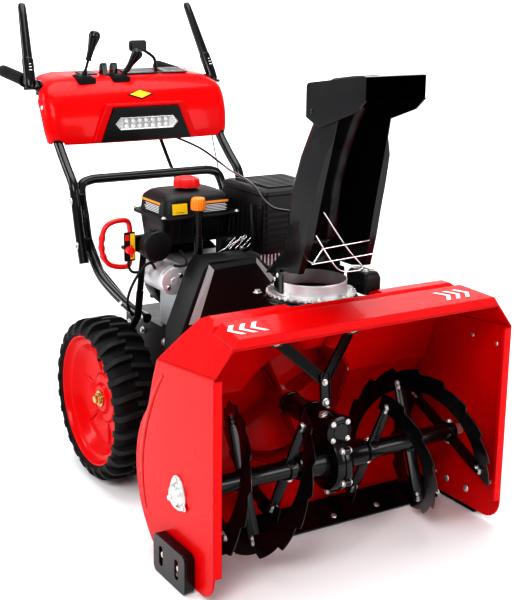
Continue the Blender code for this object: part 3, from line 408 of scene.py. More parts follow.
def piece(name, mesh, material, body="machine", nodes=(), bevel=0.0, steps=2, angle=32):
    """Visible piece that rides on a body and stands for the named CAD nodes, if any."""
    item = mesh_object(name, mesh, material)
    if bevel:
        edge = item.modifiers.new("rounding", "BEVEL")
        edge.width = bevel
        edge.segments = steps
        edge.limit_method = "ANGLE"
        edge.angle_limit = math.radians(angle)
        edge.harden_normals = True
        edge.use_clamp_overlap = True
    else:
        item.data.set_sharp_from_angle(angle=math.radians(angle))
    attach(item, body)
    if nodes:
        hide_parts(*nodes)
    return item


def cut(item, *tools):
    """Boolean differences, made before any rounding; the tools are then removed."""
    for number, tool in enumerate(tools):
        cutter = mesh_object("cutter", tool)
        step = item.modifiers.new(f"cut_{number}", "BOOLEAN")
        step.object = cutter
        step.operation = "DIFFERENCE"
        step.solver = "EXACT"
        with bpy.context.temp_override(object=item, active_object=item):
            bpy.ops.object.modifier_move_to_index(modifier=step.name, index=0)
            bpy.ops.object.modifier_apply(modifier=step.name)
        bpy.data.objects.remove(cutter, do_unlink=True)
    item.data.shade_smooth()
    if "rounding" not in item.modifiers:
        item.data.set_sharp_from_angle(angle=math.radians(32))
    return item


# ---------------------------------------------------------------- wheels
AXLE = (0.7225, 0.2027)  # y, z of the wheels' axle
LUGS = 27  # tread bars in each of the two rows


def tyre_lug(side, start, lean, outward):
    """Chunky bar from the middle of the tread over its shoulder."""
    rings = []
    # distance from the machine's middle, radius at the foot, radius at the top
    stations = ((0.2675, 0.186, 0.202), (0.285, 0.1862, 0.2024), (0.303, 0.1855, 0.2022),
        (0.3165, 0.183, 0.1995), (0.3265, 0.177, 0.1925), (0.3335, 0.17, 0.18), (0.3352, 0.166, 0.17))
    for i, (along, low, high) in enumerate(stations):
        t = i / (len(stations) - 1)
        middle = start + lean * min(1.0, t * 1.5)
        half = (0.0056 + 0.002 * t) / high
        foot = (0.0076 + 0.002 * t) / low
        x = 0.2725 + (along - 0.2725) * outward
        ring = []
        for radius, angle in ((low, middle - foot), (high, middle - half), (high, middle + half),
                (low, middle + foot)):
            ring.append(Vector((side * x, AXLE[0] + radius * math.cos(angle),
                AXLE[1] + radius * math.sin(angle))))
        rings.append(ring)
    return loft(rings)


def wheels():
    """Tyres with two rows of bars, dished rims with ribs, valves and hub nuts."""
    carcass = [(0.1562, 0.224), (0.1562, 0.3045), (0.16, 0.312), (0.1625, 0.324), (0.1665, 0.329),
        (0.169, 0.332), (0.174, 0.3325), (0.18, 0.329), (0.185, 0.32), (0.1872, 0.305), (0.188, 0.2725),
        (0.1872, 0.24), (0.185, 0.225), (0.18, 0.216), (0.174, 0.2125), (0.169, 0.213), (0.1665, 0.216),
        (0.1625, 0.221)]
    dish = [(0.013, 0.235), (0.028, 0.235), (0.028, 0.277), (0.042, 0.279), (0.056, 0.279), (0.062, 0.274),
        (0.09, 0.275), (0.118, 0.28), (0.129, 0.29), (0.14, 0.304), (0.147, 0.305), (0.15, 0.298),
        (0.1505, 0.227), (0.1535, 0.227), (0.154, 0.305), (0.158, 0.315), (0.161, 0.3215), (0.164, 0.3235),
        (0.1625, 0.3262), (0.1585, 0.3245), (0.153, 0.313), (0.149, 0.3095), (0.14, 0.309), (0.128, 0.296),
        (0.117, 0.286), (0.09, 0.281), (0.064, 0.28), (0.059, 0.285), (0.04, 0.286), (0.033, 0.293),
        (0.013, 0.293)]
    for side, name in ((-1, "right"), (1, "left")):
        lugs = []
        for angle in angles(LUGS):
            lugs.append(tyre_lug(side, angle, 0.05, 1))
            lugs.append(tyre_lug(side, angle + math.pi / LUGS, 0.05, -1))
        beads = [turned("X", AXLE, [(r - 0.0012, side * (x - 0.001)), (r, side * (x + 0.0012)),
            (r + 0.0012, side * (x - 0.001))], 96, ring=True) for r, x in ((0.1655, 0.3285),
            (0.1745, 0.3322))]
        body = turned("X", AXLE, [(r, side * x) for r, x in carcass], 96, ring=True)
        piece("tyre_tread_" + name, merged(body, *beads, *lugs), TYRE, "drive_axle", nodes=["tyre_" + name],
            bevel=0.0012, angle=30)

        rim = turned("X", AXLE, [(r, side * x) for r, x in dish], 96, ring=True)
        ribs = []
        for angle in angles(6):
            way = Vector((0, math.cos(angle + 0.25), math.sin(angle + 0.25)))
            centre = Vector((0, *AXLE))
            path = [centre + way * r + Vector((side * x, 0, 0)) for r, x in ((0.066, 0.28), (0.085, 0.2812),
                (0.105, 0.2838), (0.118, 0.2868))]
            ribs.append(swept(path, lambda t: circle(0.0055 * math.sin(math.pi * (0.12 + 0.76 * t)), 12)))
        weld = turned("X", AXLE, [(0.03, side * 0.2855), (0.0345, side * 0.2862), (0.0318, side * 0.29)], 48,
            ring=True)
        piece("rim_dish_" + name, merged(rim, weld, *ribs), RED, "drive_axle", nodes=["rim_" + name],
            bevel=0.0008, angle=40)
        valve = tube([(side * 0.3, AXLE[0] - 0.06, AXLE[1] + 0.128), (side * 0.322, AXLE[0] - 0.056,
            AXLE[1] + 0.12)], 0.0045, 16)
        piece("tyre_valve_" + name, valve, PLASTIC, "drive_axle", bevel=0.0005)
        hub = turned("X", AXLE, [(0, side * 0.2932), (0.021, side * 0.2932), (0.0205, side * 0.2962),
            (0.012, side * 0.297), (0.012, side * 0.301), (0, side * 0.301)], 40)
        nut = hex_bolt((side * 0.3, *AXLE), (side, 0, 0), 0.019)
        piece("wheel_nut_" + name, merged(hub, nut), YELLOW_ZINC, "drive_axle", bevel=0.0004)


# ---------------------------------------------------------------- auger housing
AUGER = (0.147, 0.192)  # y, z of the auger shaft
DRUM = (0.0, 0.27)  # x, z of the impeller shaft
FLIGHT = (0.102, 0.337, math.radians(284))  # inner end, outer end, angle that a ribbon winds through


def flight_place(side, phase, t, radius):
    """Point on a ribbon, t running from its inner end to its outer one."""
    angle = phase + FLIGHT[2] * t
    along = side * (FLIGHT[0] + (FLIGHT[1] - FLIGHT[0]) * t)
    return Vector((along, AUGER[0] + radius * math.cos(angle), AUGER[1] + radius * math.sin(angle)))


def flight(side, phase):
    """Saw-toothed ribbon wound between two radii, its faces slightly dished."""
    teeth, per_tooth = 12, 8
    steps = teeth * per_tooth
    rings = []
    for i in range(steps + 1):
        t = i / steps
        bite = (i % per_tooth) / per_tooth
        tip = 0.1575 + 0.0132 * (bite ** 0.8 if bite < 0.86 else (1 - bite) / 0.14)
        ring = []
        for radius, offset in ((0.118, -0.002), (0.128, -0.0016), (0.146, -0.0012), (tip - 0.0008, -0.0016),
                (tip, 0.0), (tip - 0.0008, 0.0016), (0.146, 0.0024), (0.128, 0.0024), (0.118, 0.002)):
            ring.append(flight_place(side, phase, t, radius) + Vector((side * offset, 0, 0)))
        rings.append(ring)
    return loft(rings)


def auger_spoke(side, phase, t):
    """Flat arm welded to the sleeve and bolted to its ribbon; its folded foot is added where the arms are
    placed.
    """
    root = flight_place(side, phase, t, 0.018)
    rim = flight_place(side, phase, t, 0.137)
    section = rounded(-0.0035, -0.014, 0.0035, 0.014, 0.0012, 2)
    return swept([root, root.lerp(rim, 0.5), rim], section, up=(1, 0, 0))


def augers():
    """Two toothed ribbons a side on their sleeves, with arms, bolts and shaft ends."""
    for side, name in ((-1, "right"), (1, "left")):
        sleeve = turned("X", AUGER, [(0.0133, side * 0.098), (0.024, side * 0.098), (0.024, side * 0.112),
            (0.02, side * 0.114), (0.02, side * 0.329), (0.024, side * 0.331), (0.024, side * 0.345),
            (0.0133, side * 0.345)], 40, ring=True)
        flights = []
        bolts = []
        for phase in (math.radians(-72), math.radians(108)):
            flights.append(flight(side, phase))
            for t in (0.03, 0.5, 0.97):
                flights.append(auger_spoke(side, phase, t))
                for radius in (0.124, 0.134):
                    spot = flight_place(side, phase, t, radius) + Vector((side * 0.0036, 0, 0))
                    bolts.append(hex_bolt(spot, (side, 0, 0), 0.01, spin=radius * 40))
                    spot = flight_place(side, phase, t, radius) - Vector((side * 0.0036, 0, 0))
                    bolts.append(hex_bolt(spot, (-side, 0, 0), 0.01, spin=radius * 70))
                root = flight_place(side, phase, t, 0.02)
                foot = turned("Z", (0, 0), [(0.01, -0.002), (0.015, -0.002), (0.012, 0.004), (0.007, 0.005)],
                    20, ring=True)
                outward = flight_place(side, phase, t, 1.0) - flight_place(side, phase, t, 0.0)
                flights.append(placed(foot, root, outward))
        piece("auger_ribbons_" + name, merged(sleeve, *flights), BLACK, "auger_rotor",
            nodes=["auger_" + name], bevel=0.0006, angle=40)
        for along in (0.105, 0.338):
            for way in (1, -1):
                bolts.append(hex_bolt((side * along, AUGER[0], AUGER[1] + way * 0.0238), (0, 0, way), 0.012))
        piece("auger_bolts_" + name, merged(*bolts), ZINC, "auger_rotor", bevel=0.0003)
    shaft_caps = [turned("X", AUGER, [(0, side * 0.386), (0.011, side * 0.386), (0.0128, side * 0.3845),
        (0.0128, side * 0.377), (0, side * 0.377)], 32) for side in (-1, 1)]
    piece("auger_shaft_ends", merged(*shaft_caps), ZINC, "auger_rotor")


def gearbox():
    """Split auger gearbox, its long nose and the strut that holds it."""
    case = turned("X", AUGER, [(0, -0.024), (0.05, -0.024), (0.064, -0.021), (0.068, -0.014),
        (0.0685, -0.004), (0.072, -0.0035), (0.072, 0.0035), (0.0685, 0.004), (0.068, 0.014), (0.064, 0.021),
        (0.05, 0.024), (0, 0.024)], 56)
    bosses = turned("X", AUGER, [(0.0134, -0.09), (0.027, -0.09), (0.03, -0.086), (0.03, -0.05),
        (0.036, -0.024), (0.036, 0.024), (0.03, 0.05), (0.03, 0.086), (0.027, 0.09), (0.0134, 0.09)], 44,
        ring=True)
    nose = turned("Y", DRUM, [(0, 0.105), (0.018, 0.105), (0.02, 0.1075), (0.026, 0.108), (0.033, 0.1115),
        (0.0355, 0.118), (0.0355, 0.125), (0.033, 0.126), (0.033, 0.21), (0.0355, 0.211), (0.0355, 0.218),
        (0.027, 0.23), (0.0265, 0.302), (0.029, 0.303), (0.029, 0.3095), (0, 0.3095)], 44)
    ribs = []
    for angle in map(math.radians, (25, 155, 205, 335)):
        way = Vector((math.cos(angle), 0, math.sin(angle)))
        start = Vector((0, 0.13, DRUM[1])) + way * 0.0335
        ribs.append(swept([start, start + Vector((0, 0.076, 0))], rect(0.0016, 0.003), up=tuple(way)))
    lugs = []
    bolts = []
    for i in range(6):
        angle = 2 * math.pi * i / 6 + 0.45
        spot = Vector((0, AUGER[0] + 0.0725 * math.cos(angle), AUGER[1] + 0.0725 * math.sin(angle)))
        if spot.z > 0.235 and spot.y > 0.12:
            continue
        lugs.append(cylinder("X", (spot.y, spot.z), 0.0085, -0.008, 0.008, 24))
        bolts.append(hex_bolt(spot - Vector((0.008, 0, 0)), (-1, 0, 0), 0.011, spin=i))
        bolts.append(hex_bolt(spot + Vector((0.008, 0, 0)), (1, 0, 0), 0.011, spin=i + 0.4))
    for degrees in (45, 135, 225, 315):
        angle = math.radians(degrees)
        bolts.append(hex_bolt((0.0265 * math.cos(angle), 0.1085, DRUM[1] + 0.0265 * math.sin(angle)),
            (0, -1, 0), 0.0085, spin=degrees))
    bolts.append(hex_bolt((-0.018, 0.15, 0.298), (-0.5, 0, 0.86), 0.014))
    bolts.append(hex_bolt((0.018, 0.19, 0.298), (0.5, 0, 0.86), 0.012))
    piece("gearbox_case", merged(case, bosses, nose, *ribs, *lugs), BLACK, nodes=["auger_gearbox"],
        bevel=0.0008, angle=35)
    piece("gearbox_bolts", merged(*bolts), ZINC, bevel=0.0003)

    apex = Vector((0, 0.176, 0.37))
    strap = [(-0.012, -0.002), (-0.0125, -0.006), (-0.0105, -0.006), (-0.01, -0.002), (0.01, -0.002),
        (0.0105, -0.006), (0.0125, -0.006), (0.012, -0.002), (0.012, 0.002), (-0.012, 0.002)]
    stem = swept([apex + Vector((0, 0.001, 0.01)), (0, 0.172, 0.335), (0, 0.17, 0.3065)], strap, up=(0, 1, 0))
    arms = [swept([apex + Vector((0, 0, -0.006)), (side * 0.09, 0.216, 0.452)], strap, up=(0, 1, 0))
        for side in (-1, 1)]
    feet = [prism("Y", rounded(min(side * 0.082, side * 0.118), 0.446, max(side * 0.082, side * 0.118), 0.472,
        0.008), 0.2125, 0.216) for side in (-1, 1)]
    piece("gearbox_strut", merged(stem, *arms, *feet), BLACK, nodes=["gearbox_bracket"], bevel=0.0006)
    bolts = [hex_bolt((side * 0.101, 0.2123, 0.459), (0, -1, -0.1), 0.013) for side in (-1, 1)]
    bolts.append(hex_bolt((0, 0.1675, 0.318), (0, -1, 0.1), 0.012))
    bolts.append(hex_bolt((0, 0.1725, 0.362), (0, -1, 0.1), 0.01))
    piece("strut_bolts", merged(*bolts), ZINC, bevel=0.0003)


def impeller():
    """Fan with cupped blades, gussets and a hub pin."""
    blades = []
    for angle in angles(4, 20):
        way = Vector((math.cos(angle), 0, math.sin(angle)))
        across = Vector((-math.sin(angle), 0, math.cos(angle)))
        rings = []
        for t in (0.0, 0.3, 0.6, 0.85, 1.0):
            base = Vector((0, 0.3575, DRUM[1])) + way * (0.02 + 0.121 * t) + across * (0.012 * t * t)
            rings.append([base + across * a + Vector((0, b, 0)) for a, b in ((-0.0015, -0.0255),
                (0.0015, -0.0255), (0.0015, 0.0245), (-0.0015, 0.0245))])
        blades.append(loft(rings))
        start = Vector((0, 0.3815, DRUM[1])) + way * 0.03 + across * 0.004
        gusset = loft([[start, start + way * 0.07 + across * 0.004, start + Vector((0, -0.03, 0))],
            [start + across * 0.003, start + way * 0.07 + across * 0.007, start + Vector((0, -0.03, 0))
            + across * 0.003]])
        blades.append(gusset)
    hub = turned("Y", DRUM, [(0.0103, 0.33), (0.024, 0.33), (0.026, 0.332), (0.026, 0.386), (0.0103, 0.386)],
        40, ring=True)
    disc = turned("Y", DRUM, [(0.02, 0.382), (0.139, 0.382), (0.142, 0.38), (0.142, 0.385), (0.02, 0.3846)],
        72, ring=True)
    piece("fan_blades", merged(hub, disc, *blades), RED, "impeller", nodes=["impeller_fan"], bevel=0.0006)
    piece("fan_pin", merged(hex_bolt((0, 0.345, DRUM[1] + 0.0258), (0, 0, 1), 0.011),
        hex_bolt((0, 0.345, DRUM[1] - 0.0258), (0, 0, -1), 0.011)), ZINC, "impeller")


def housing_details():
    """Pressed beads, fasteners, bearings, shoes and the chevrons on the housing."""
    silhouette = [(0.213, 0.43), (0.255, 0.375), (0.295, 0.3), (0.318, 0.22), (0.316, 0.15), (0.3, 0.1)]
    bolts = []
    for side, name in ((-1, "right"), (1, "left")):
        face = side * 0.3739
        outer = smooth_path([(face, y, z) for y, z in silhouette], 6)
        bead = swept(outer, lambda t: [(0.01 * math.sin(math.pi * min(0.94, max(0.06, t))) ** 0.5 * a,
            0.0009 * b) for a, b in circle(1.0, 12)], up=(side, 0, 0))
        piece("panel_bead_" + name, bead, RED)

        plate = []
        for angle in angles(72):
            lobe = 0.0335 + 0.0085 * max(0.0, math.cos(1.5 * (angle - math.radians(90)))) ** 2
            plate.append((AUGER[0] + lobe * math.cos(angle), AUGER[1] + lobe * math.sin(angle)))
        base = side * 0.3742
        flange = prism("X", plate, base, base + side * 0.0032)
        cap = turned("X", AUGER, [(0.0134, side * 0.376), (0.027, side * 0.376), (0.026, side * 0.38),
            (0.0225, side * 0.383), (0.021, side * 0.3865), (0.018, side * 0.388), (0.0134, side * 0.388)],
            48, ring=True)
        spots = [(AUGER[0] + 0.0345 * math.cos(math.radians(a)),
            AUGER[1] + 0.0345 * math.sin(math.radians(a))) for a in (90, 210, 330)]
        heads = [hex_bolt((side * 0.3774, y, z), (side, 0, 0), 0.011, spin=y * 90) for y, z in spots]
        piece("bearing_plate_" + name, merged(flange, cap, *heads), ZINC, nodes=["auger_bearing_" + name],
            bevel=0.0005)

        stub = turned("X", AUGER, [(0, side * 0.378), (0.0131, side * 0.378), (0.0131, side * 0.3885),
            (0.012, side * 0.3898), (0, side * 0.3898)], 40)
        nut = hex_bolt((side * 0.3896, *AUGER), (side, 0, 0), 0.0105)
        piece("shaft_end_" + name, merged(stub, nut), ALLOY, "auger_rotor", bevel=0.0004)

        sole = prism("X", rounded(0.076, 0.0, 0.218, 0.087, 0.014), side * 0.3944, side * 0.3984)
        edge = swept([(side * 0.395, y, z) for y, z in rounded(0.0785, 0.0025, 0.2155, 0.0845, 0.0125, 6)],
            [(-0.0025, -0.02), (0.0025, -0.02), (0.0025, 0.0), (-0.0025, 0.0)], up=(side, 0, 0), loop=True)
        shoe = piece("shoe_" + name, merged(sole, edge), BLACK, nodes=["skid_shoe_" + name], bevel=0.0015,
            steps=3)
        cut(shoe, *[prism("X", rounded(y - 0.0075, 0.022, y + 0.0075, 0.066, 0.007), side * 0.37, side * 0.41)
            for y in (0.113, 0.183)])
        for y in (0.113, 0.183):
            bolts.append(cylinder("X", (y, 0.052), 0.0125, side * 0.3742, side * 0.3765, 28))
            bolts.append(turned("X", (y, 0.046), [(0, side * 0.374), (0.0045, side * 0.374),
                (0.0045, side * 0.388), (0.0072, side * 0.388), (0.0072, side * 0.3895), (0, side * 0.3895)],
                28))
            bolts.append(hex_bolt((side * 0.3894, y, 0.046), (side, 0, 0), 0.012, spin=y * 50))
            bolts.append(dome_bolt((side * 0.3708, y, 0.052), (-side, 0, 0), 0.009, 0.004))
        for y, z in ((0.04, 0.43), (0.12, 0.43), (0.03, 0.1), (0.225, 0.055)):
            bolts.append(dome_bolt((side * 0.3708, y, z), (-side, 0, 0), 0.0055, 0.0028))
    for x in (-0.305, -0.183, -0.061, 0.061, 0.183, 0.305):
        bolts.append(dome_bolt((x, 0.2105, 0.0145), (0, -0.45, 0.89), 0.0075, 0.0035))
    piece("housing_bolts", merged(*bolts), ZINC, bevel=0.0003)

    marks = []
    top = [Vector((0, 0.006, 0.5553)), Vector((0, 0.088, 0.5621))]
    for side in (-1, 1):
        for i in range(3):
            x = side * ((0.318 if side < 0 else 0.286) - 0.026 * i)
            outline = [(x, 0.5), (x - side * 0.018, 0.8), (x - side * 0.029, 0.8), (x - side * 0.011, 0.5),
                (x - side * 0.029, 0.2), (x - side * 0.018, 0.2)]
            rings = []
            for lift in (0.00005, 0.00035):
                rings.append([Vector((px, 0, 0)) + top[0].lerp(top[1], v) + Vector((0, 0, lift))
                    for px, v in outline])
            marks.append(loft(rings))
    piece("band_chevrons", merged(*marks), LABEL_WHITE, angle=20)


# ---------------------------------------------------------------- chute
CHUTE = (0.0, 0.235)  # x, y of the axis that the chute turns about


def chute_section(front, rear, half_width, z_front, z_rear, flange, wall=0.0022):
    """Closed U outline at one height, flanges turned out along its front edges."""
    corner = 0.03
    outer = [(-half_width - flange, front), (-half_width - flange, front + wall), (-half_width, front + wall)]
    inner = []
    for i in range(9):
        angle = math.radians(180 - 90 * i / 8)
        outer.append((-half_width + corner + corner * math.cos(angle),
            rear - corner + corner * math.sin(angle)))
        inner.append((-half_width + corner + (corner - wall) * math.cos(angle),
            rear - corner + (corner - wall) * math.sin(angle)))
    outer += [(-x, y) for x, y in reversed(outer)]
    inner = [(-half_width + wall, front)] + inner
    inner += [(-x, y) for x, y in reversed(inner)]
    ring = outer + list(reversed(inner))
    depth = rear - front
    return [Vector((x, y, z_front + (z_rear - z_front) * (y - front) / depth)) for x, y in ring]


def chute():
    """Trough, toothed ring, fixed base, turning drive and the tilting deflector."""
    levels = ((0.146, 0.316, 0.0805, 0.622, 0.588, 0.012), (0.124, 0.252, 0.0735, 0.69, 0.65, 0.016),
        (0.11, 0.242, 0.072, 0.75, 0.72, 0.016), (0.094, 0.229, 0.0705, 0.812, 0.79, 0.016),
        (0.078, 0.202, 0.0685, 0.868, 0.86, 0.013), (0.068, 0.168, 0.067, 0.906, 0.925, 0.001),
        (0.058, 0.145, 0.0655, 0.948, 0.962, 0.001))
    fine = []
    for near, far in zip(levels, levels[1:]):
        for i in range(4):
            fine.append(tuple(a + (b - a) * i / 4 for a, b in zip(near, far)))
    fine.append(levels[-1])
    body = loft([chute_section(*level) for level in fine])
    skirt = turned("Z", CHUTE, [(0.0788, 0.56), (0.0815, 0.56), (0.0815, 0.602), (0.0788, 0.602)], 64,
        ring=True)
    tray = piece("chute_trough", body, BLACK, "chute", nodes=["chute_body"], bevel=0.0006, angle=50)
    cut(tray, cylinder("Z", CHUTE, 0.0788, 0.5, 0.586, 64), block((-0.2, 0.0, 0.5), (0.2, 0.24, 0.612)))
    sleeve = piece("chute_skirt", skirt, BLACK, "chute", bevel=0.0006)
    cut(sleeve, block((-0.2, 0.0, 0.5), (0.2, 0.225, 0.64)))

    teeth = 40
    outline = []
    for i in range(teeth):
        for step, radius in ((0.0, 0.094), (0.26, 0.0942), (0.4, 0.0988), (0.66, 0.0988), (0.8, 0.0942)):
            angle = 2 * math.pi * (i + step) / teeth
            outline.append((radius * math.cos(angle), CHUTE[1] + radius * math.sin(angle)))
    gear = piece("chute_gear", prism("Z", outline, 0.5525, 0.5575), ZINC, "chute", nodes=["chute_ring"],
        bevel=0.0003)
    cut(gear, cylinder("Z", CHUTE, 0.0756, 0.54, 0.57, 64))
    collar = turned("Z", CHUTE, [(0.0756, 0.556), (0.08, 0.556), (0.08, 0.559), (0.0784, 0.56),
        (0.0784, 0.578), (0.0787, 0.58), (0.0787, 0.5835), (0.0782, 0.585), (0.0768, 0.5855),
        (0.0758, 0.5845), (0.0756, 0.578)], 96, ring=True)
    piece("chute_collar", collar, ALLOY, "chute", bevel=0.0002)
    clamps = []
    for degrees in (200, 250, 290, 340, 60, 120):
        angle = math.radians(degrees)
        spot = (0.088 * math.cos(angle), CHUTE[1] + 0.088 * math.sin(angle), 0.5575)
        clamps.append(hex_bolt(spot, (0, 0, 1), 0.0095, spin=degrees))
    for side in (-1, 1):
        for y, z in ((0.262, 0.585), (0.245, 0.597)):
            clamps.append(dome_bolt((side * 0.0815 * math.cos(math.asin((y - 0.235) / 0.0815)), y, z),
                (side, (y - 0.235) * 8, 0), 0.0055, 0.003))
    piece("chute_bolts", merged(*clamps), ZINC, "chute", bevel=0.0003)

    flange = turned("Z", CHUTE, [(0.0752, 0.5395), (0.104, 0.5395), (0.104, 0.544), (0.102, 0.546),
        (0.1, 0.5462), (0.1, 0.5505), (0.0985, 0.552), (0.0752, 0.552)], 96, ring=True)
    ears = [prism("Z", rounded(side * 0.08 - 0.02, y - 0.02, side * 0.08 + 0.02, y + 0.02, 0.009), 0.5395,
        0.5435) for side in (-1, 1) for y in (CHUTE[1] - 0.072, CHUTE[1] + 0.072)]
    base = piece("chute_base", merged(flange, *ears), BLACK, nodes=["chute_flange"], bevel=0.0008)
    cut(base, cylinder("Z", CHUTE, 0.0752, 0.52, 0.6, 96))
    bolts = [hex_bolt((side * 0.088, y, 0.5435), (0, 0, 1), 0.013, spin=y * 30) for side in (-1, 1)
        for y in (CHUTE[1] - 0.08, CHUTE[1] + 0.08)]
    piece("chute_base_bolts", merged(*bolts), ZINC, bevel=0.0003)

    drive = stacked(0.112, 0.19, 0.158, 0.265, 0.009, ((0.0, 0.5398), (0.0, 0.575), (0.002, 0.582),
        (0.005, 0.587), (0.01, 0.5895)))
    ridge = [block((0.157, 0.196 + 0.011 * i, 0.545), (0.1592, 0.2 + 0.011 * i, 0.574)) for i in range(6)]
    piece("chute_drive", merged(drive, *ridge), PLASTIC, nodes=["chute_drive_box"], bevel=0.0008)
    screws = [hex_bolt((x, y, 0.589), (0, 0, 1), 0.008) for x in (0.126, 0.144) for y in (0.208, 0.247)]
    piece("chute_drive_screws", merged(*screws), ZINC, bevel=0.0002)

    outline = [(0.1625, 0.944), (0.1625, 1.006), (0.16, 1.0105), (0.154, 1.014), (-0.03, 1.04),
        (-0.04, 1.039), (-0.04, 0.995), (-0.01, 0.97), (0.116, 0.927)]
    inside = [(0.1603, 0.9), (0.1603, 1.005), (0.158, 1.009), (0.1528, 1.0118), (-0.03, 1.0376),
        (-0.1, 1.042), (-0.1, 0.9)]
    hood = piece("deflector_hood", prism("X", outline, -0.0712, 0.0712), BLACK, "deflector_hood",
        nodes=["deflector"], bevel=0.0016, steps=3)
    cut(hood, prism("X", inside, -0.0692, 0.0692))
    raised = loft([[Vector((x, y, 1.014 + 0.1413 * (0.154 - y) + lift)) for x, y in rounded(-a, 0.06 - b, a,
        0.122 + b, 0.006)] for a, b, lift in ((0.04, 0.004, -0.001), (0.038, 0.002, 0.004),
        (0.034, -0.001, 0.0055))])
    lips = [swept([(side * 0.0712, 0.112, 0.929), (side * 0.0712, -0.01, 0.9712),
        (side * 0.0712, -0.038, 0.9945)], [(-0.0045, -0.001), (0.0, -0.001), (0.0, 0.001), (-0.0045, 0.001)],
        up=(0, 0, 1)) for side in (-1, 1)]
    piece("deflector_plate", merged(raised, *lips), BLACK, "deflector_hood", bevel=0.001)
    knuckles = [cylinder("X", (0.166, 0.944), 0.0035, x, x + 0.02, 20) for x in (-0.05, -0.01, 0.03)]
    piece("deflector_rivets", merged(*[dome_bolt((side * 0.0712, 0.14, 0.958), (side, 0, 0), 0.006, 0.0025)
        for side in (-1, 1)]), BLACK, "deflector_hood")
    piece("deflector_pins", merged(*knuckles), ZINC, "deflector_hood", bevel=0.0002)


def guard_wires():
    """Bent safety rods across the chute's foot."""
    low_bar = smooth_path([(-0.08, 0.14, 0.655), (-0.074, 0.118, 0.65), (-0.068, 0.113, 0.65),
        (0.079, 0.113, 0.655), (0.098, 0.113, 0.656)], 6)
    high_bar = smooth_path([(-0.074, 0.118, 0.65), (-0.056, 0.115, 0.676), (-0.048, 0.115, 0.679),
        (0.056, 0.118, 0.683), (0.08, 0.14, 0.68)], 6)
    loop = smooth_path([(-0.044, 0.13, 0.752), (0.012, 0.122, 0.672), (0.047, 0.117, 0.632),
        (0.044, 0.116, 0.624), (0.034, 0.116, 0.622), (-0.005, 0.116, 0.626), (-0.03, 0.118, 0.65),
        (-0.062, 0.13, 0.705)], 6)
    piece("guard_rods", merged(*[tube(route, 0.002, 14) for route in (low_bar, high_bar, loop)]), CHROME,
        "chute", nodes=["guard_wire"])


# ---------------------------------------------------------------- engine
def louvred_box(low, high, radius=0.012):
    """Box with rounded upright edges and a softened top."""
    levels = ((0.004, low[2]), (0.0, low[2] + 0.006), (0.0, high[2] - 0.012), (0.003, high[2] - 0.004),
        (0.01, high[2]))
    return stacked(low[0], low[1], high[0], high[1], radius, levels)


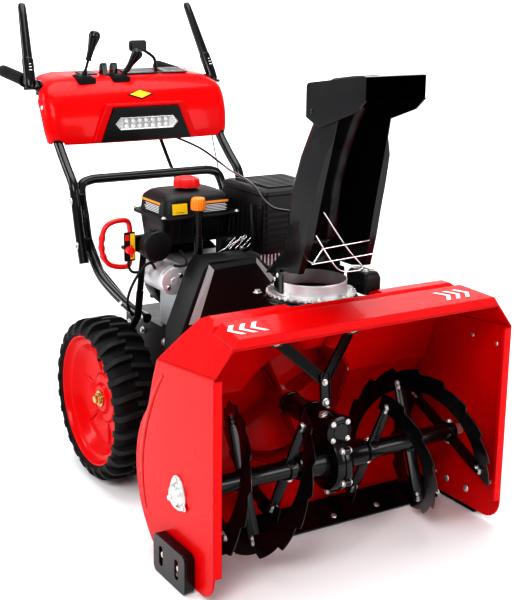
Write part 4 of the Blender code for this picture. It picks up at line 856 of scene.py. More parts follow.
def engine():
    """Crankcase, finned cylinder, starter, recoil, air box, switch and the plumbing between them."""
    crank = louvred_box((-0.148, 0.52, 0.386), (0.058, 0.688, 0.562), 0.016)
    cover = turned("Y", (-0.06, 0.47), [(0, 0.5165), (0.07, 0.5165), (0.074, 0.5185), (0.074, 0.527),
        (0, 0.527)], 48)
    lobes = [turned("Y", (-0.06 + 0.068 * math.cos(a), 0.47 + 0.068 * math.sin(a)),
        [(0, 0.5165), (0.01, 0.5165), (0.011, 0.518), (0.011, 0.527), (0, 0.527)], 20) for a in angles(6, 20)]
    barrel = [block((0.05 + 0.01 * i, 0.53, 0.432), (0.0545 + 0.01 * i, 0.64, 0.568)) for i in range(10)]
    core = block((0.045, 0.54, 0.445), (0.158, 0.63, 0.556))
    head = louvred_box((0.148, 0.536, 0.436), (0.165, 0.634, 0.566), 0.006)
    spout = turned("Z", (-0.12, 0.53), [(0, 0.55), (0.02, 0.55), (0.017, 0.56), (0.016, 0.5785),
        (0.015, 0.5795), (0, 0.5795)], 32)
    foot = swept([(-0.13, 0.519, 0.4), (-0.136, 0.52, 0.47), (-0.15, 0.53, 0.5)], rounded(-0.02, -0.006, 0.02,
        0.006, 0.004, 3), up=(0, 1, 0))
    web = [swept([(-0.146 + 0.016 * i, 0.5185, 0.402), (-0.15 + 0.012 * i, 0.5165, 0.49)], circle(0.0028, 10))
        for i in range(3)]
    boss = turned("Y", (-0.06, 0.5), [(0, 0.5117), (0.018, 0.5117), (0.02, 0.513), (0.02, 0.53), (0, 0.53)],
        32)
    piece("engine_case", merged(crank, cover, *lobes, *barrel, core, head, spout, foot, *web, boss), CAST,
        nodes=["engine_block"], bevel=0.001)
    bolts = [hex_bolt((-0.06 + 0.068 * math.cos(a), 0.5165, 0.47 + 0.068 * math.sin(a)), (0, -1, 0), 0.01,
        spin=a) for a in angles(6, 20)]
    bolts += [hex_bolt((-0.134, 0.5145, z), (0, -1, 0), 0.012, spin=z * 60) for z in (0.412, 0.446, 0.482)]
    bolts += [hex_bolt((0.1655, y, z), (1, 0, 0), 0.009, spin=z) for y in (0.55, 0.62)
        for z in (0.455, 0.548)]
    bolts.append(hex_bolt((-0.148, 0.6, 0.405), (-1, 0, 0), 0.015))
    piece("engine_bolts", merged(*bolts), ZINC, bevel=0.0003)

    centre = (-0.191, 0.536)
    can = turned("Y", centre, [(0, 0.515), (0.029, 0.515), (0.0312, 0.5158), (0.0325, 0.5185),
        (0.0325, 0.527), (0.0318, 0.5275), (0.0318, 0.5285), (0.0328, 0.529), (0.033, 0.615),
        (0.0322, 0.6155), (0.0322, 0.6165), (0.0328, 0.617), (0.0325, 0.64), (0.022, 0.644), (0, 0.644)], 64)
    nub = turned("Y", centre, [(0, 0.5135), (0.0085, 0.5135), (0.01, 0.515), (0, 0.515)], 28)
    stay = prism("Z", rounded(-0.175, 0.58, -0.1505, 0.63, 0.004), 0.49, 0.53)
    piece("starter_can", merged(can, nub, stay), ALLOY, nodes=["starter_motor"], bevel=0.0004)
    screws = [hex_bolt((centre[0] + 0.0205 * math.cos(a), 0.5152, centre[1] + 0.0205 * math.sin(a)),
        (0, -1, 0), 0.0085) for a in (math.radians(40), math.radians(220))]
    piece("starter_screws", merged(*screws), CHROME, bevel=0.0003)
    routes = (
        [(-0.218, 0.56, 0.56), (-0.234, 0.548, 0.578), (-0.248, 0.56, 0.566), (-0.262, 0.59, 0.52),
         (-0.262, 0.62, 0.47), (-0.24, 0.64, 0.43)],
        [(-0.268, 0.59, 0.582), (-0.262, 0.61, 0.56), (-0.246, 0.62, 0.542), (-0.222, 0.622, 0.54)],
        [(-0.16, 0.545, 0.6), (-0.158, 0.52, 0.585), (-0.166, 0.51, 0.572), (-0.185, 0.528, 0.57)])
    leads = [tube(smooth_path(route, 8), 0.0032, 12) for route in routes]
    piece("starter_leads", merged(*leads), PLASTIC)
    lower = [(-0.238, 0.6, 0.5), (-0.247, 0.596, 0.44), (-0.252, 0.62, 0.405)]
    upper = [(-0.235, 0.585, 0.595), (-0.24, 0.59, 0.53), (-0.238, 0.6, 0.5)]
    stays = [swept(path, rounded(-half, -0.0015, half, 0.0015, 0.001, 2), up=(0, 1, 0))
        for path, half in ((lower, 0.009), (upper, 0.008))]
    piece("starter_stay", merged(*stays), SATIN, bevel=0.0004)

    shroud = turned("Y", (-0.06, 0.5), [(0, 0.6905), (0.096, 0.6905), (0.0995, 0.693), (0.1, 0.7),
        (0.0985, 0.73), (0.096, 0.755), (0.09, 0.768), (0.08, 0.775), (0.07, 0.777), (0.045, 0.78),
        (0.044, 0.777), (0.02, 0.777), (0.018, 0.7795), (0, 0.7795)], 72)
    slots = []
    for angle in angles(20):
        way = Vector((math.cos(angle), 0, math.sin(angle)))
        start = Vector((-0.06, 0.7775, 0.5)) + way * 0.05
        slots.append(swept([start, start + way * 0.028 + Vector((0, -0.0015, 0))], circle(0.0022, 8)))
    exit_block = louvred_box((-0.186, 0.701, 0.5605), (-0.104, 0.739, 0.5995), 0.005)
    fins = [block((-0.15 + 0.009 * i, 0.69, 0.56), (-0.147 + 0.009 * i, 0.701, 0.596)) for i in range(4)]
    piece("recoil_cover", merged(shroud, exit_block, *slots, *fins), PLASTIC, nodes=["recoil_housing"],
        bevel=0.001)
    eyelet = turned("X", (0.72, 0.58), [(0.0032, -0.1895), (0.0075, -0.1885), (0.0085, -0.186),
        (0.0032, -0.186)], 32, ring=True)
    rim_bolts = [hex_bolt((-0.06 + 0.091 * math.cos(a), 0.766, 0.5 + 0.091 * math.sin(a)), (0, 1, 0), 0.01)
        for a in angles(4, 45)]
    piece("recoil_bolts", merged(eyelet, *rim_bolts), ZINC, bevel=0.0003)

    grip = [(-0.217, 0.72, 0.645), (-0.25, 0.72, 0.644), (-0.272, 0.72, 0.63), (-0.281, 0.72, 0.595),
        (-0.276, 0.72, 0.56), (-0.256, 0.72, 0.538), (-0.217, 0.72, 0.531), (-0.207, 0.72, 0.545),
        (-0.205, 0.72, 0.588), (-0.207, 0.72, 0.63)]
    route = smooth_path(grip, 8, loop=True)
    handle = swept(route, [(a * 0.95, b) for a, b in circle(0.0066, 18)], up=(0, 1, 0), loop=True)
    bumps = [swept([route[k], route[k + 1], route[k + 2], route[k + 3]],
        lambda t: circle(0.0072 + 0.001 * math.sin(math.pi * t), 16), up=(0, 1, 0)) for k in (20, 25, 30)]
    piece("pull_grip", merged(handle, *bumps), RED_PLASTIC, "starter_grip", nodes=["recoil_handle"],
        bevel=0.0006)
    twist = []
    for k in range(3):
        rope = [Vector((-0.2045 + 0.0685 * i / 60, 0.72 + 0.0012 * math.cos(i * 0.5 + 2.1 * k),
            0.58 + 0.0012 * math.sin(i * 0.5 + 2.1 * k))) for i in range(61)]
        twist.append(tube(rope, 0.0013, 8))
    piece("pull_rope", merged(*twist), LABEL_WHITE, "starter_grip")

    box = stacked(0.014, 0.462, 0.2, 0.668, 0.016, ((0.006, 0.5852), (0.0, 0.592), (0.0, 0.712),
        (0.003, 0.72), (0.003, 0.7235), (0.0, 0.725), (0.002, 0.733), (0.009, 0.7375)))
    louvres = [prism("Z", rounded(0.04, 0.486 + 0.016 * i, 0.176, 0.494 + 0.016 * i, 0.0035), 0.7365, 0.7412)
        for i in range(10)]
    ribs = [prism("Y", rounded(0.0125, 0.6, 0.015, 0.7, 0.001, 2), 0.49 + 0.02 * i, 0.497 + 0.02 * i)
        for i in range(8)]
    piece("air_box", merged(box, *louvres, *ribs), PLASTIC, nodes=["muffler_box"],
        bevel=0.0012)
    guard = [block((0.01, 0.459, 0.598 + 0.0145 * i), (0.196, 0.4622, 0.605 + 0.0145 * i)) for i in range(7)]
    frame_bars = [block((x, 0.4575, 0.592), (x + 0.006, 0.4625, 0.706)) for x in (0.012, 0.1, 0.188)]
    piece("heat_guard", merged(*guard, *frame_bars), SATIN, bevel=0.0006)
    pipe = tube(smooth_path([(0.06, 0.5, 0.58), (0.03, 0.48, 0.596), (0.012, 0.47, 0.64),
        (0.004, 0.462, 0.7)], 8), 0.0055, 20)
    hose = tube(smooth_path([(-0.01, 0.52, 0.585), (-0.004, 0.48, 0.61), (-0.006, 0.478, 0.66),
        (0.006, 0.5, 0.7)], 8), 0.0045, 16)
    linkage = [tube([(-0.07 + 0.016 * i, 0.5, 0.6), (-0.04 + 0.016 * i, 0.496, 0.628)], 0.0011, 10)
        for i in range(5)]
    piece("fuel_hose", merged(hose, pipe), PLASTIC)
    rail = swept([(-0.09, 0.506, 0.588), (-0.01, 0.5, 0.628)], rounded(-0.0025, -0.001, 0.0025, 0.001, 0.0006,
        2), up=(0, 1, 0))
    piece("carburettor_rods", merged(rail, *linkage), CHROME, bevel=0.0002)
    carb = [turned("Y", (-0.04, 0.606), [(0, 0.512), (0.016, 0.512), (0.018, 0.516), (0.018, 0.546),
        (0, 0.546)], 32), block((-0.064, 0.52, 0.585), (-0.014, 0.548, 0.624)), turned("Z", (-0.04, 0.528),
        [(0, 0.566), (0.014, 0.566), (0.017, 0.572), (0.017, 0.59), (0, 0.59)], 32)]
    piece("carburettor", merged(*carb), SATIN, bevel=0.001)

    switch = prism("Y", rounded(-0.296, 0.58, -0.262, 0.656, 0.006), 0.566, 0.604)
    plate = prism("Y", rounded(-0.293, 0.584, -0.265, 0.652, 0.004), 0.564, 0.5662)
    arm = block((-0.268, 0.574, 0.602), (-0.2, 0.59, 0.638))
    cap = turned("Y", (-0.226, 0.62), [(0, 0.5222), (0.03, 0.5222), (0.0335, 0.524), (0.0355, 0.5275),
        (0.0355, 0.533), (0.0345, 0.5335), (0.0345, 0.535), (0.036, 0.536), (0.036, 0.553), (0.023, 0.56),
        (0.02, 0.575), (0, 0.575)], 64)
    clips = [swept([(-0.226 + 0.037 * math.cos(a), 0.53, 0.62 + 0.037 * math.sin(a)),
        (-0.226 + 0.037 * math.cos(a), 0.556, 0.62 + 0.037 * math.sin(a))], rounded(-0.004, -0.002, 0.004,
        0.002, 0.001, 2)) for a in (math.radians(100), math.radians(260))]
    body = piece("switch_case", merged(switch, plate, arm, cap, *clips), PLASTIC, nodes=["switch_box"],
        bevel=0.0008)
    cut(body, cylinder("Y", (-0.284, 0.612), 0.0046, 0.55, 0.592, 24))
    label = prism("Y", rounded(-0.278, 0.588, -0.266, 0.648, 0.001, 2), 0.5636, 0.5641)
    piece("switch_label", label, LABEL_YELLOW)
    rocker = prism("Y", rounded(-0.291, 0.632, -0.281, 0.646, 0.002, 3), 0.5618, 0.5641)
    piece("switch_rocker", rocker, RED_PLASTIC, bevel=0.0006)
    bow = turned("Y", (-0.284, 0.612), [(0, 0.5452), (0.0078, 0.5452), (0.009, 0.5465), (0.009, 0.56),
        (0.007, 0.5612), (0.004, 0.5625), (0.004, 0.585), (0, 0.585)], 28)
    fin = prism("Y", rounded(-0.2862, 0.598, -0.2818, 0.626, 0.002, 3), 0.5425, 0.546)
    piece("key_bow", merged(bow, fin), RED_PLASTIC, "key", nodes=["ignition_key"], bevel=0.0005)


def tank_spot(u, z, lift, side_face):
    """Point on the tank's front face (u is x), or on its left face (u is y)."""
    inset = 0.012 + 0.003 * (z - 0.68) / 0.028
    if side_face:
        return Vector((-0.202 + inset - lift, u, z))
    return Vector((u, 0.548 + inset - lift, z))


def tank():
    """Fuel tank with its seam flange, blank labels, caps and the oil filler tube."""

    def level(inset, z, radius):
        """Outline of the tank at one height."""
        return [Vector((x, y, z)) for x, y in rounded(-0.202 + inset, 0.548 + inset, 0.006 - inset,
            0.724 - inset, radius, 8)]

    shell = loft([level(0.022, 0.61, 0.022), level(0.018, 0.613, 0.026), level(0.0125, 0.66, 0.028),
        level(0.012, 0.668, 0.028), level(0.0, 0.6692, 0.026), level(-0.0006, 0.6725, 0.026),
        level(0.0, 0.6758, 0.026), level(0.0115, 0.6768, 0.028), level(0.012, 0.68, 0.028),
        level(0.015, 0.708, 0.029), level(0.0175, 0.714, 0.029), level(0.029, 0.7235, 0.026),
        level(0.04, 0.7268, 0.022)])
    neck_ring = turned("Z", (-0.1, 0.625), [(0, 0.724), (0.033, 0.724), (0.032, 0.727), (0.02, 0.729),
        (0.02, 0.745), (0, 0.745)], 48)
    slats = []
    for i in range(4):
        x = -0.15 + 0.034 * i
        slats.append(swept([(x, 0.5655, 0.615), (x, 0.5605, 0.662)], rounded(-0.0035, -0.0012, 0.0035, 0.0012,
            0.001, 2), up=(0, 1, 0)))
    piece("tank_shell", merged(shell, neck_ring, *slats), PLASTIC, nodes=["fuel_tank"], bevel=0.0008,
        angle=50)
    bolts = [hex_bolt((x, y, 0.6762), (0, 0, 1), 0.008) for x in (-0.196, -0.002) for y in (0.556, 0.716)]
    piece("tank_bolts", merged(*bolts), ZINC, bevel=0.0002)

    def decal(name, u0, u1, low, high, material, side_face=False):
        """Thin patch on the tank's front face, or on its left one."""
        corners = ((u0, low), (u1, low), (u1, high), (u0, high))
        rings = [[tank_spot(u, v, lift, side_face) for u, v in corners] for lift in (0.0002, 0.0006)]
        piece(name, loft(rings), material, angle=20)

    decal("tank_label_side", 0.59, 0.69, 0.701, 0.7065, LABEL_ORANGE, True)
    decal("tank_label_middle", -0.171, -0.132, 0.681, 0.706, LABEL_YELLOW)
    decal("tank_label_front", -0.092, -0.022, 0.701, 0.7065, LABEL_ORANGE)
    for i in range(5):
        z = 0.682 + 0.0036 * i
        decal(f"tank_label_side_line_{i}", 0.594, 0.662 + 0.004 * (i % 3), z, z + 0.0015, LABEL_WHITE, True)
        decal(f"tank_label_front_line_{i}", -0.09, -0.03 + 0.004 * (i % 2), z, z + 0.0015, LABEL_WHITE)
    decal("tank_label_middle_mark", -0.163, -0.14, 0.685, 0.6862, PLASTIC)

    ribs = []
    for angle in angles(28):
        way = Vector((math.cos(angle), math.sin(angle), 0))
        base = Vector((-0.1, 0.625, 0.735)) + way * 0.0302
        ribs.append(swept([base, base + Vector((0, 0, 0.012)), base + Vector((0, 0, 0.015)) - way * 0.0012],
            circle(0.0014, 8)))
    cap = turned("Z", (-0.1, 0.625), [(0, 0.7455), (0.0206, 0.7455), (0.0206, 0.7335), (0.0305, 0.7335),
        (0.0312, 0.7345), (0.0302, 0.736), (0.03, 0.749), (0.029, 0.753), (0.0255, 0.755), (0.02, 0.7556),
        (0.019, 0.7568), (0, 0.757)], 64)
    piece("tank_cap", merged(cap, *ribs), RED_PLASTIC, "fuel_filler_cap", nodes=["fuel_cap"], bevel=0.0006)

    pipe = turned("Z", (-0.12, 0.53), [(0, 0.58), (0.0125, 0.58), (0.0125, 0.588), (0.0102, 0.59),
        (0.01, 0.63), (0.0108, 0.631), (0.0108, 0.635), (0.01, 0.636), (0.01, 0.702), (0, 0.702)], 40)
    piece("dipstick_tube", pipe, GLOSSY, nodes=["oil_tube"], bevel=0.0005)
    ridges = []
    for angle in angles(18):
        spot = Vector((-0.12 + 0.0168 * math.cos(angle), 0.53 + 0.0168 * math.sin(angle), 0.6965))
        ridges.append(tube([spot, spot + Vector((0, 0, 0.018))], 0.0011, 8))
    lid = turned("Z", (-0.12, 0.53), [(0, 0.7024), (0.0106, 0.7024), (0.0106, 0.695), (0.0165, 0.695),
        (0.017, 0.696), (0.0168, 0.717), (0.0155, 0.7215), (0.013, 0.7235), (0, 0.724)], 48)
    piece("dipstick_cap", merged(lid, *ridges), AMBER, "oil_filler_cap", nodes=["oil_cap"], bevel=0.0005)


def belt_guard():
    """Moulded belt cover with its raised, bevelled face; grey strips on two of its chamfers are painted
    highlight.
    """
    outline = [(-0.232, 0.358), (-0.224, 0.44), (-0.166, 0.58), (-0.15, 0.598), (-0.03, 0.598), (0.008, 0.57),
        (0.05, 0.5), (0.092, 0.4), (0.112, 0.27), (0.085, 0.19), (0.04, 0.165), (-0.05, 0.165), (-0.12, 0.2),
        (-0.158, 0.25), (-0.16, 0.358)]
    middle = Vector((-0.06, 0.4))

    def inset(points, distance):
        """Outline drawn in towards the cover's middle."""
        return [tuple(Vector(point) + (middle - Vector(point)).normalized() * distance) for point in points]

    shell = loft([[plane_point("Y", u, v, y) for u, v in inset(outline, distance)]
        for distance, y in ((0.006, 0.42), (0.0015, 0.4218), (0.0, 0.426), (0.0, 0.495))])
    cover = piece("belt_guard_shell", shell, PLASTIC, nodes=["belt_cover"], bevel=0.0015, steps=3, angle=20)
    cut(cover, prism("Y", inset(outline, 0.004), 0.4232, 0.6))
    face = [(-0.185, 0.37), (0.04, 0.37), (0.006, 0.533), (-0.034, 0.584), (-0.144, 0.58), (-0.185, 0.46)]
    foot = [(-0.205, 0.366), (0.058, 0.366), (0.02, 0.542), (-0.028, 0.594), (-0.152, 0.592), (-0.205, 0.458)]
    panel = loft([[plane_point("Y", u, v, y) for u, v in ring] for ring, y in ((foot, 0.4212),
        (face, 0.4112))])
    piece("belt_guard_panel", panel, PLASTIC, bevel=0.001)
    # grey strips over two chamfers of the raised face: a painted highlight, not a part of the cover
    shine = []
    for a, b in ((5, 4), (3, 2)):
        ring = [plane_point("Y", *face[a], 0.4103), plane_point("Y", *face[b], 0.4103),
            plane_point("Y", *foot[b], 0.4201), plane_point("Y", *foot[a], 0.4201)]
        shine.append(loft([ring, [corner + Vector((0, 0.0008, 0)) for corner in ring]]))
    piece("belt_guard_painted_sheen", merged(*shine), GREY_TRAY_AND_PAINTED_SHEEN)
    bolts = [hex_bolt((x, 0.4212, z), (0, -1, 0), 0.012, spin=x * 50) for x, z in ((0.034, 0.52),
        (-0.215, 0.405), (0.08, 0.345))]
    piece("belt_guard_bolts", merged(*bolts), ZINC, bevel=0.0003)


def chassis_details():
    """Bolts, folded lips and the control rods on the transmission frame."""
    bolts = []
    for side in (-1, 1):
        for y, z in ((0.53, 0.35), (0.64, 0.35), (0.76, 0.35), (0.84, 0.35), (0.54, 0.16), (0.83, 0.16),
                (0.64, 0.3)):
            bolts.append(hex_bolt((side * 0.155, y, z), (side, 0, 0), 0.013, spin=y * 20))
    for y in (0.375, 0.43, 0.485):
        for side in (-1, 1):
            bolts.append(hex_bolt((side * 0.169, y, 0.335), (side, 0, 0), 0.012, spin=y * 20))
    piece("frame_bolts", merged(*bolts), ZINC, bevel=0.0003)
    lips = [block((side * 0.155 - 0.0015, 0.5, 0.374), (side * 0.155 + 0.0015, 0.858, 0.386))
        for side in (-1, 1)]
    flats = [prism("X", rounded(AXLE[0] - 0.03, AXLE[1] - 0.03, AXLE[0] + 0.03, AXLE[1] + 0.03, 0.012),
        side * 0.1552, side * 0.1585) for side in (-1, 1)]
    plates = piece("frame_flanges", merged(*lips, *flats), SATIN, bevel=0.0006)
    cut(plates, cylinder("X", AXLE, 0.0145, -0.2, 0.2, 32))
    shift = [(0.099, 1.185, 0.8), (0.11, 1.12, 0.7), (0.128, 0.985, 0.52), (0.135, 0.89, 0.4)]
    piece("shift_rod", tube(smooth_path(shift, 6), 0.005, 14), SATIN)
    wire = [(0.243, 1.16, 0.905), (0.238, 1.12, 0.8), (0.214, 1.0, 0.62), (0.19, 0.88, 0.44),
        (0.15, 0.87, 0.38)]
    wires = [tube(smooth_path([(side * x, y, z) for x, y, z in wire], 6), 0.0016, 14) for side in (-1, 1)]
    piece("clutch_wires", merged(*wires), SATIN)


# ---------------------------------------------------------------- handles and console
def handle_path(side):
    """Points of one upper handle tube, from its bolted end to its grip."""
    return [(side * x, y, z) for x, y, z in ((0.245, 0.915, 0.5), (0.245, 0.94, 0.576), (0.245, 0.96, 0.655),
        (0.245, 0.975, 0.697), (0.243, 1.022, 0.738), (0.241, 1.078, 0.792), (0.241, 1.11, 0.85),
        (0.243, 1.15, 0.905), (0.245, 1.205, 0.9284), (0.245, 1.29, 0.9348), (0.245, 1.462, 0.9478))]


def handles():
    """Bent tubes, bolted plates, ribbed grips and the clutch wires' brackets."""
    half = [(0.172, 0.7, 0.398), (0.178, 0.735, 0.402), (0.19, 0.79, 0.418), (0.206, 0.885, 0.46),
        (0.211, 0.935, 0.506), (0.213, 0.963, 0.546), (0.213, 0.981, 0.61), (0.21, 1.006, 0.662),
        (0.2, 1.018, 0.688), (0.169, 1.021, 0.697)]
    route = smooth_path([(-x, y, z) for x, y, z in half], 6) + smooth_path(half[::-1], 6)
    braces = [swept([(side * 0.203, 0.905, 0.475), (side * 0.16, 0.845, 0.4)], rounded(-0.009, -0.002, 0.009,
        0.002, 0.001, 2), up=(0, 1, 1)) for side in (-1, 1)]
    piece("frame_tube", merged(tube(route, 0.0125, 28), *braces), BLACK, nodes=["lower_handle"])
    bolts = []
    for side, name in ((-1, "right"), (1, "left")):
        bar = tube(smooth_path(handle_path(side), 6), 0.0125, 28)
        pin = turned("X", (1.17, 0.925), [(0, side * 0.25), (0.004, side * 0.25), (0.004, side * 0.2945),
            (0, side * 0.295)], 20)
        low, high = sorted((side * 0.25, side * 0.2555))
        ear = prism("X", rounded(1.15, 0.905, 1.19, 0.945, 0.01), low, high)
        piece("grip_bar_" + name, merged(bar, pin, ear), BLACK, nodes=["upper_handle_" + name])
        collar = swept(smooth_path([(side * 0.2442, 1.182, 0.9215), (side * 0.245, 1.205, 0.9284),
            (side * 0.245, 1.232, 0.9305)], 5), circle(0.015, 28))
        piece("bar_bracket_" + name, collar, ZINC, bevel=0.0006)

        start, end = Vector(handle_path(side)[-2]), Vector(handle_path(side)[-1])
        way = (end - start).normalized()
        length = (end - start).length + 0.008
        profile = [(0.0128, 0.0), (0.0185, 0.0), (0.0192, 0.002), (0.0192, 0.006), (0.017, 0.008)]
        for i in range(22):
            along = 0.014 + 0.0062 * i
            profile += [(0.0162, along), (0.0168, along + 0.0012), (0.0168, along + 0.0036),
                (0.0162, along + 0.0048)]
        profile += [(0.017, length - 0.012), (0.0166, length - 0.003), (0.012, length), (0.0, length)]
        inner = [(0.0, length - 0.0068), (0.0128, length - 0.0068)]
        sleeve = turned("Z", (0, 0), profile + inner, 40, ring=True)
        sleeve = placed(sleeve, start, way)
        piece("grip_sleeve_" + name, sleeve, GRIP, nodes=["grip_" + name], angle=40)

        for y, z in ((0.93, 0.545), (0.961, 0.655)):
            bolts.append(hex_bolt((side * 0.2572, y, z), (side, 0, 0), 0.013, spin=y * 40))
        bolts.append(hex_bolt((side * 0.1855, 0.705, 0.399), (side, 0, 0), 0.013))
        bolts.append(hex_bolt((side * 0.1975, 0.79, 0.417), (side, 0, 0), 0.013))
    piece("handle_bolts", merged(*bolts), ZINC, bevel=0.0003)
    links = [block((side * 0.229 - 0.0075, 0.921, 0.53), (side * 0.229 + 0.0075, 0.937, 0.562))
        for side in (-1, 1)]
    links += [block((side * 0.2285 - 0.007, 0.955, 0.64), (side * 0.2285 + 0.007, 0.972, 0.672))
        for side in (-1, 1)]
    piece("handle_spacers", merged(*links), SATIN, bevel=0.002)


PANEL_FRONT, PANEL_SLOPE = 1.147, 0.1085  # front edge of the lever panel, and its rise per metre

# console from its lower edge to its crown: half width, front y, front z, rear y, rear z
CONSOLE_LEVELS = ((0.262, 1.048, 0.785, 1.1, 0.788), (0.268, 1.05, 0.815, 1.105, 0.818),
    (0.27, 1.06, 0.865, 1.125, 0.87), (0.268, 1.08, 0.908, 1.16, 0.914), (0.257, 1.098, 0.928, 1.205, 0.937),
    (0.23, 1.12, 0.944, 1.226, 0.954), (0.192, 1.14, 0.952, 1.225, 0.962))


def blended_levels(levels, per_span=5):
    """Smooth series of console levels through the given ones."""
    route = []
    padded = [levels[0]] + list(levels) + [levels[-1]]
    for a, b, c, d in zip(padded, padded[1:], padded[2:], padded[3:]):
        for i in range(per_span):
            t = i / per_span
            route.append(tuple(0.5 * (2 * q + (r - p) * t + (2 * p - 5 * q + 4 * r - s) * t * t
                + (3 * q - p - 3 * r + s) * t ** 3) for p, q, r, s in zip(a, b, c, d)))
    return route + [levels[-1]]


def console_ring(level, shrink=0.0):
    """Outline of the console at one level, open to the rear."""
    half_width, y_front, z_front, y_rear, z_rear = level
    wide = half_width - shrink
    radius = 0.034
    points = [(wide, y_rear)]
    for i in range(9):
        angle = math.radians(90 * i / 8)
        points.append((wide - radius + radius * math.cos(angle),
            y_front + 0.01 + radius - radius * math.sin(angle)))
    for share, bow in ((0.72, 0.007), (0.55, 0.004), (0.36, 0.0015), (0.18, 0.0004)):
        points.append((wide * share, y_front + bow))
    outline = points + [(0.0, y_front)] + [(-x, y) for x, y in reversed(points)]
    slope = (z_rear - z_front) / (y_rear - y_front)
    return [Vector((x, y + shrink * (y < y_rear), z_front + slope * (y - y_front))) for x, y in outline]


def console():
    """Hollow moulded console with its lamp, lever slots, panel and blank badge."""
    levels = blended_levels(CONSOLE_LEVELS)
    shell = loft([console_ring(level) for level in levels])
    cover = piece("console_cover", shell, RED, nodes=["console_shell"], angle=45)
    width, y_front, z_front, _, z_rear = levels[0]
    inner = [console_ring((width, y_front, z_front - 0.03, 1.3, z_rear - 0.03), 0.003)]
    for width, y_front, z_front, y_rear, z_rear in levels[:-1]:
        slope = (z_rear - z_front) / (y_rear - y_front)
        inner.append(console_ring((width, y_front, z_front - 0.003, 1.3, z_front - 0.003
            + slope * (1.3 - y_front)), 0.003))
    tools = [loft(inner)]
    tools += [tube(smooth_path(handle_path(side), 4), 0.0165, 24) for side in (-1, 1)]
    tools += [prism("X", rounded(1.135, 0.892, 1.26, 1.0, 0.012), min(side * 0.252, side * 0.3),
        max(side * 0.252, side * 0.3)) for side in (-1, 1)]
    for x, y, reach in ((-0.049, 1.14, 0.031), (-0.149, 1.14, 0.031), (0.099, 1.185, 0.012)):
        tools.append(prism("Z", rounded(x - 0.009, y - 0.028, x + reach, y + 0.028, 0.007), 0.93, 1.0))
    tools += [prism("Z", rounded(x - 0.0085, 1.15, x + 0.0085, 1.195, 0.003), 0.93, 1.0)
        for x in (-0.066, -0.036)]
    tools.append(prism("Y", taper(0.122, 0.797, 0.088, 0.868), 1.0, 1.1))
    cut(cover, *tools)

    face = prism("Y", taper(0.132, 0.789, 0.095, 0.876), 1.04, 1.0475)
    throat = prism("Y", taper(0.118, 0.8, 0.086, 0.865), 1.047, 1.085)
    bezel = piece("lamp_bezel", merged(face, throat), GLOSSY, nodes=["lamp_housing"], bevel=0.003, steps=3)
    window = [(-0.092, 0.834), (-0.078, 0.8185), (0.078, 0.8185), (0.092, 0.834), (0.078, 0.8495),
        (-0.078, 0.8495)]
    cut(bezel, prism("Y", window, 1.02, 1.064))
    tray = prism("Y", [(u * 0.985, 0.834 + (v - 0.834) * 0.97) for u, v in window], 1.056, 1.063)
    cells = []
    lenses = []
    for i in range(7):
        for j in range(2):
            u, v = -0.0585 + 0.0195 * i, 0.8272 + 0.0136 * j
            cells.append(turned("Y", (u, v), [(0.0066, 1.0445), (0.0062, 1.0445), (0.003, 1.0545),
                (0.003, 1.0565), (0.0066, 1.0565)], 28, ring=True))
            lenses.append(turned("Y", (u, v), [(0, 1.05), (0.0016, 1.0505), (0.0028, 1.052), (0.0034, 1.0545),
                (0, 1.055)], 20))
    piece("lamp_tray", tray, GREY_TRAY_AND_PAINTED_SHEEN)
    ends = [prism("Y", [(side * 0.0895, 0.834), (side * 0.0765, 0.82), (side * 0.068, 0.82),
        (side * 0.068, 0.848), (side * 0.0765, 0.848)], 1.046, 1.0565) for side in (-1, 1)]
    piece("lamp_reflectors", merged(*cells, *ends), CHROME, bevel=0.001)
    piece("lamp_diodes", merged(*lenses), LED)
    pane = prism("Y", window, 1.042, 1.0432)
    piece("lamp_pane", pane, GLASS, nodes=["lamp_lens"])
    trim = swept([Vector((u, 1.0405, v)) for u, v in window], rect(0.0012, 0.0012), up=(0, 1, 0), loop=True)
    piece("lamp_trim", trim, CHROME, bevel=0.0003)

    border = prism("Y", taper(0.156, 0.7875, 0.113, 0.888), 1.044, 1.07)
    surround = piece("lamp_surround", border, RED, bevel=0.0035, steps=4)
    cut(surround, prism("Y", taper(0.1335, 0.78, 0.0955, 0.8765), 1.0, 1.1))
    slots = []
    for x, y in ((-0.149, 1.14), (-0.049, 1.14)):
        low = x - 0.012
        high = x + 0.034
        for i in range(3):
            slots.append(loft([[Vector((u, v, 0.9512 + 0.002 * i + 0.1 * (v - y) + lift))
                for u, v in rounded(low - 0.002 + 0.004 * i, y - 0.03 + 0.004 * i, high + 0.002 - 0.004 * i,
                y + 0.03 - 0.004 * i, 0.007)] for lift in (-0.016, 0.0018)]))
    slots.append(prism("Z", rounded(-0.0775, 1.146, -0.0245, 1.199, 0.004), 0.936, 0.944))
    piece("lever_gaiters", merged(*slots), GRIP, bevel=0.0008)

    plate = prism("X", [(1.147, 0.9545), (1.218, 0.9622), (1.218, 0.9647), (1.147, 0.957)], -0.005, 0.18)
    panel = piece("console_plate", plate, SATIN, nodes=["control_panel"], bevel=0.0006)
    cut(panel, prism("Z", rounded(0.089, 1.155, 0.109, 1.215, 0.006), 0.94, 0.98))

    def printed_bar(x0, x1, y, width):
        """Thin bar on the sloping lever panel."""
        z = 0.957 + PANEL_SLOPE * (y - PANEL_FRONT)
        corners = ((x0, y), (x1, y), (x1, y + width), (x0, y + width))
        return loft([[Vector((u, v, z + lift)) for u, v in corners] for lift in (0.0001, 0.0004)])

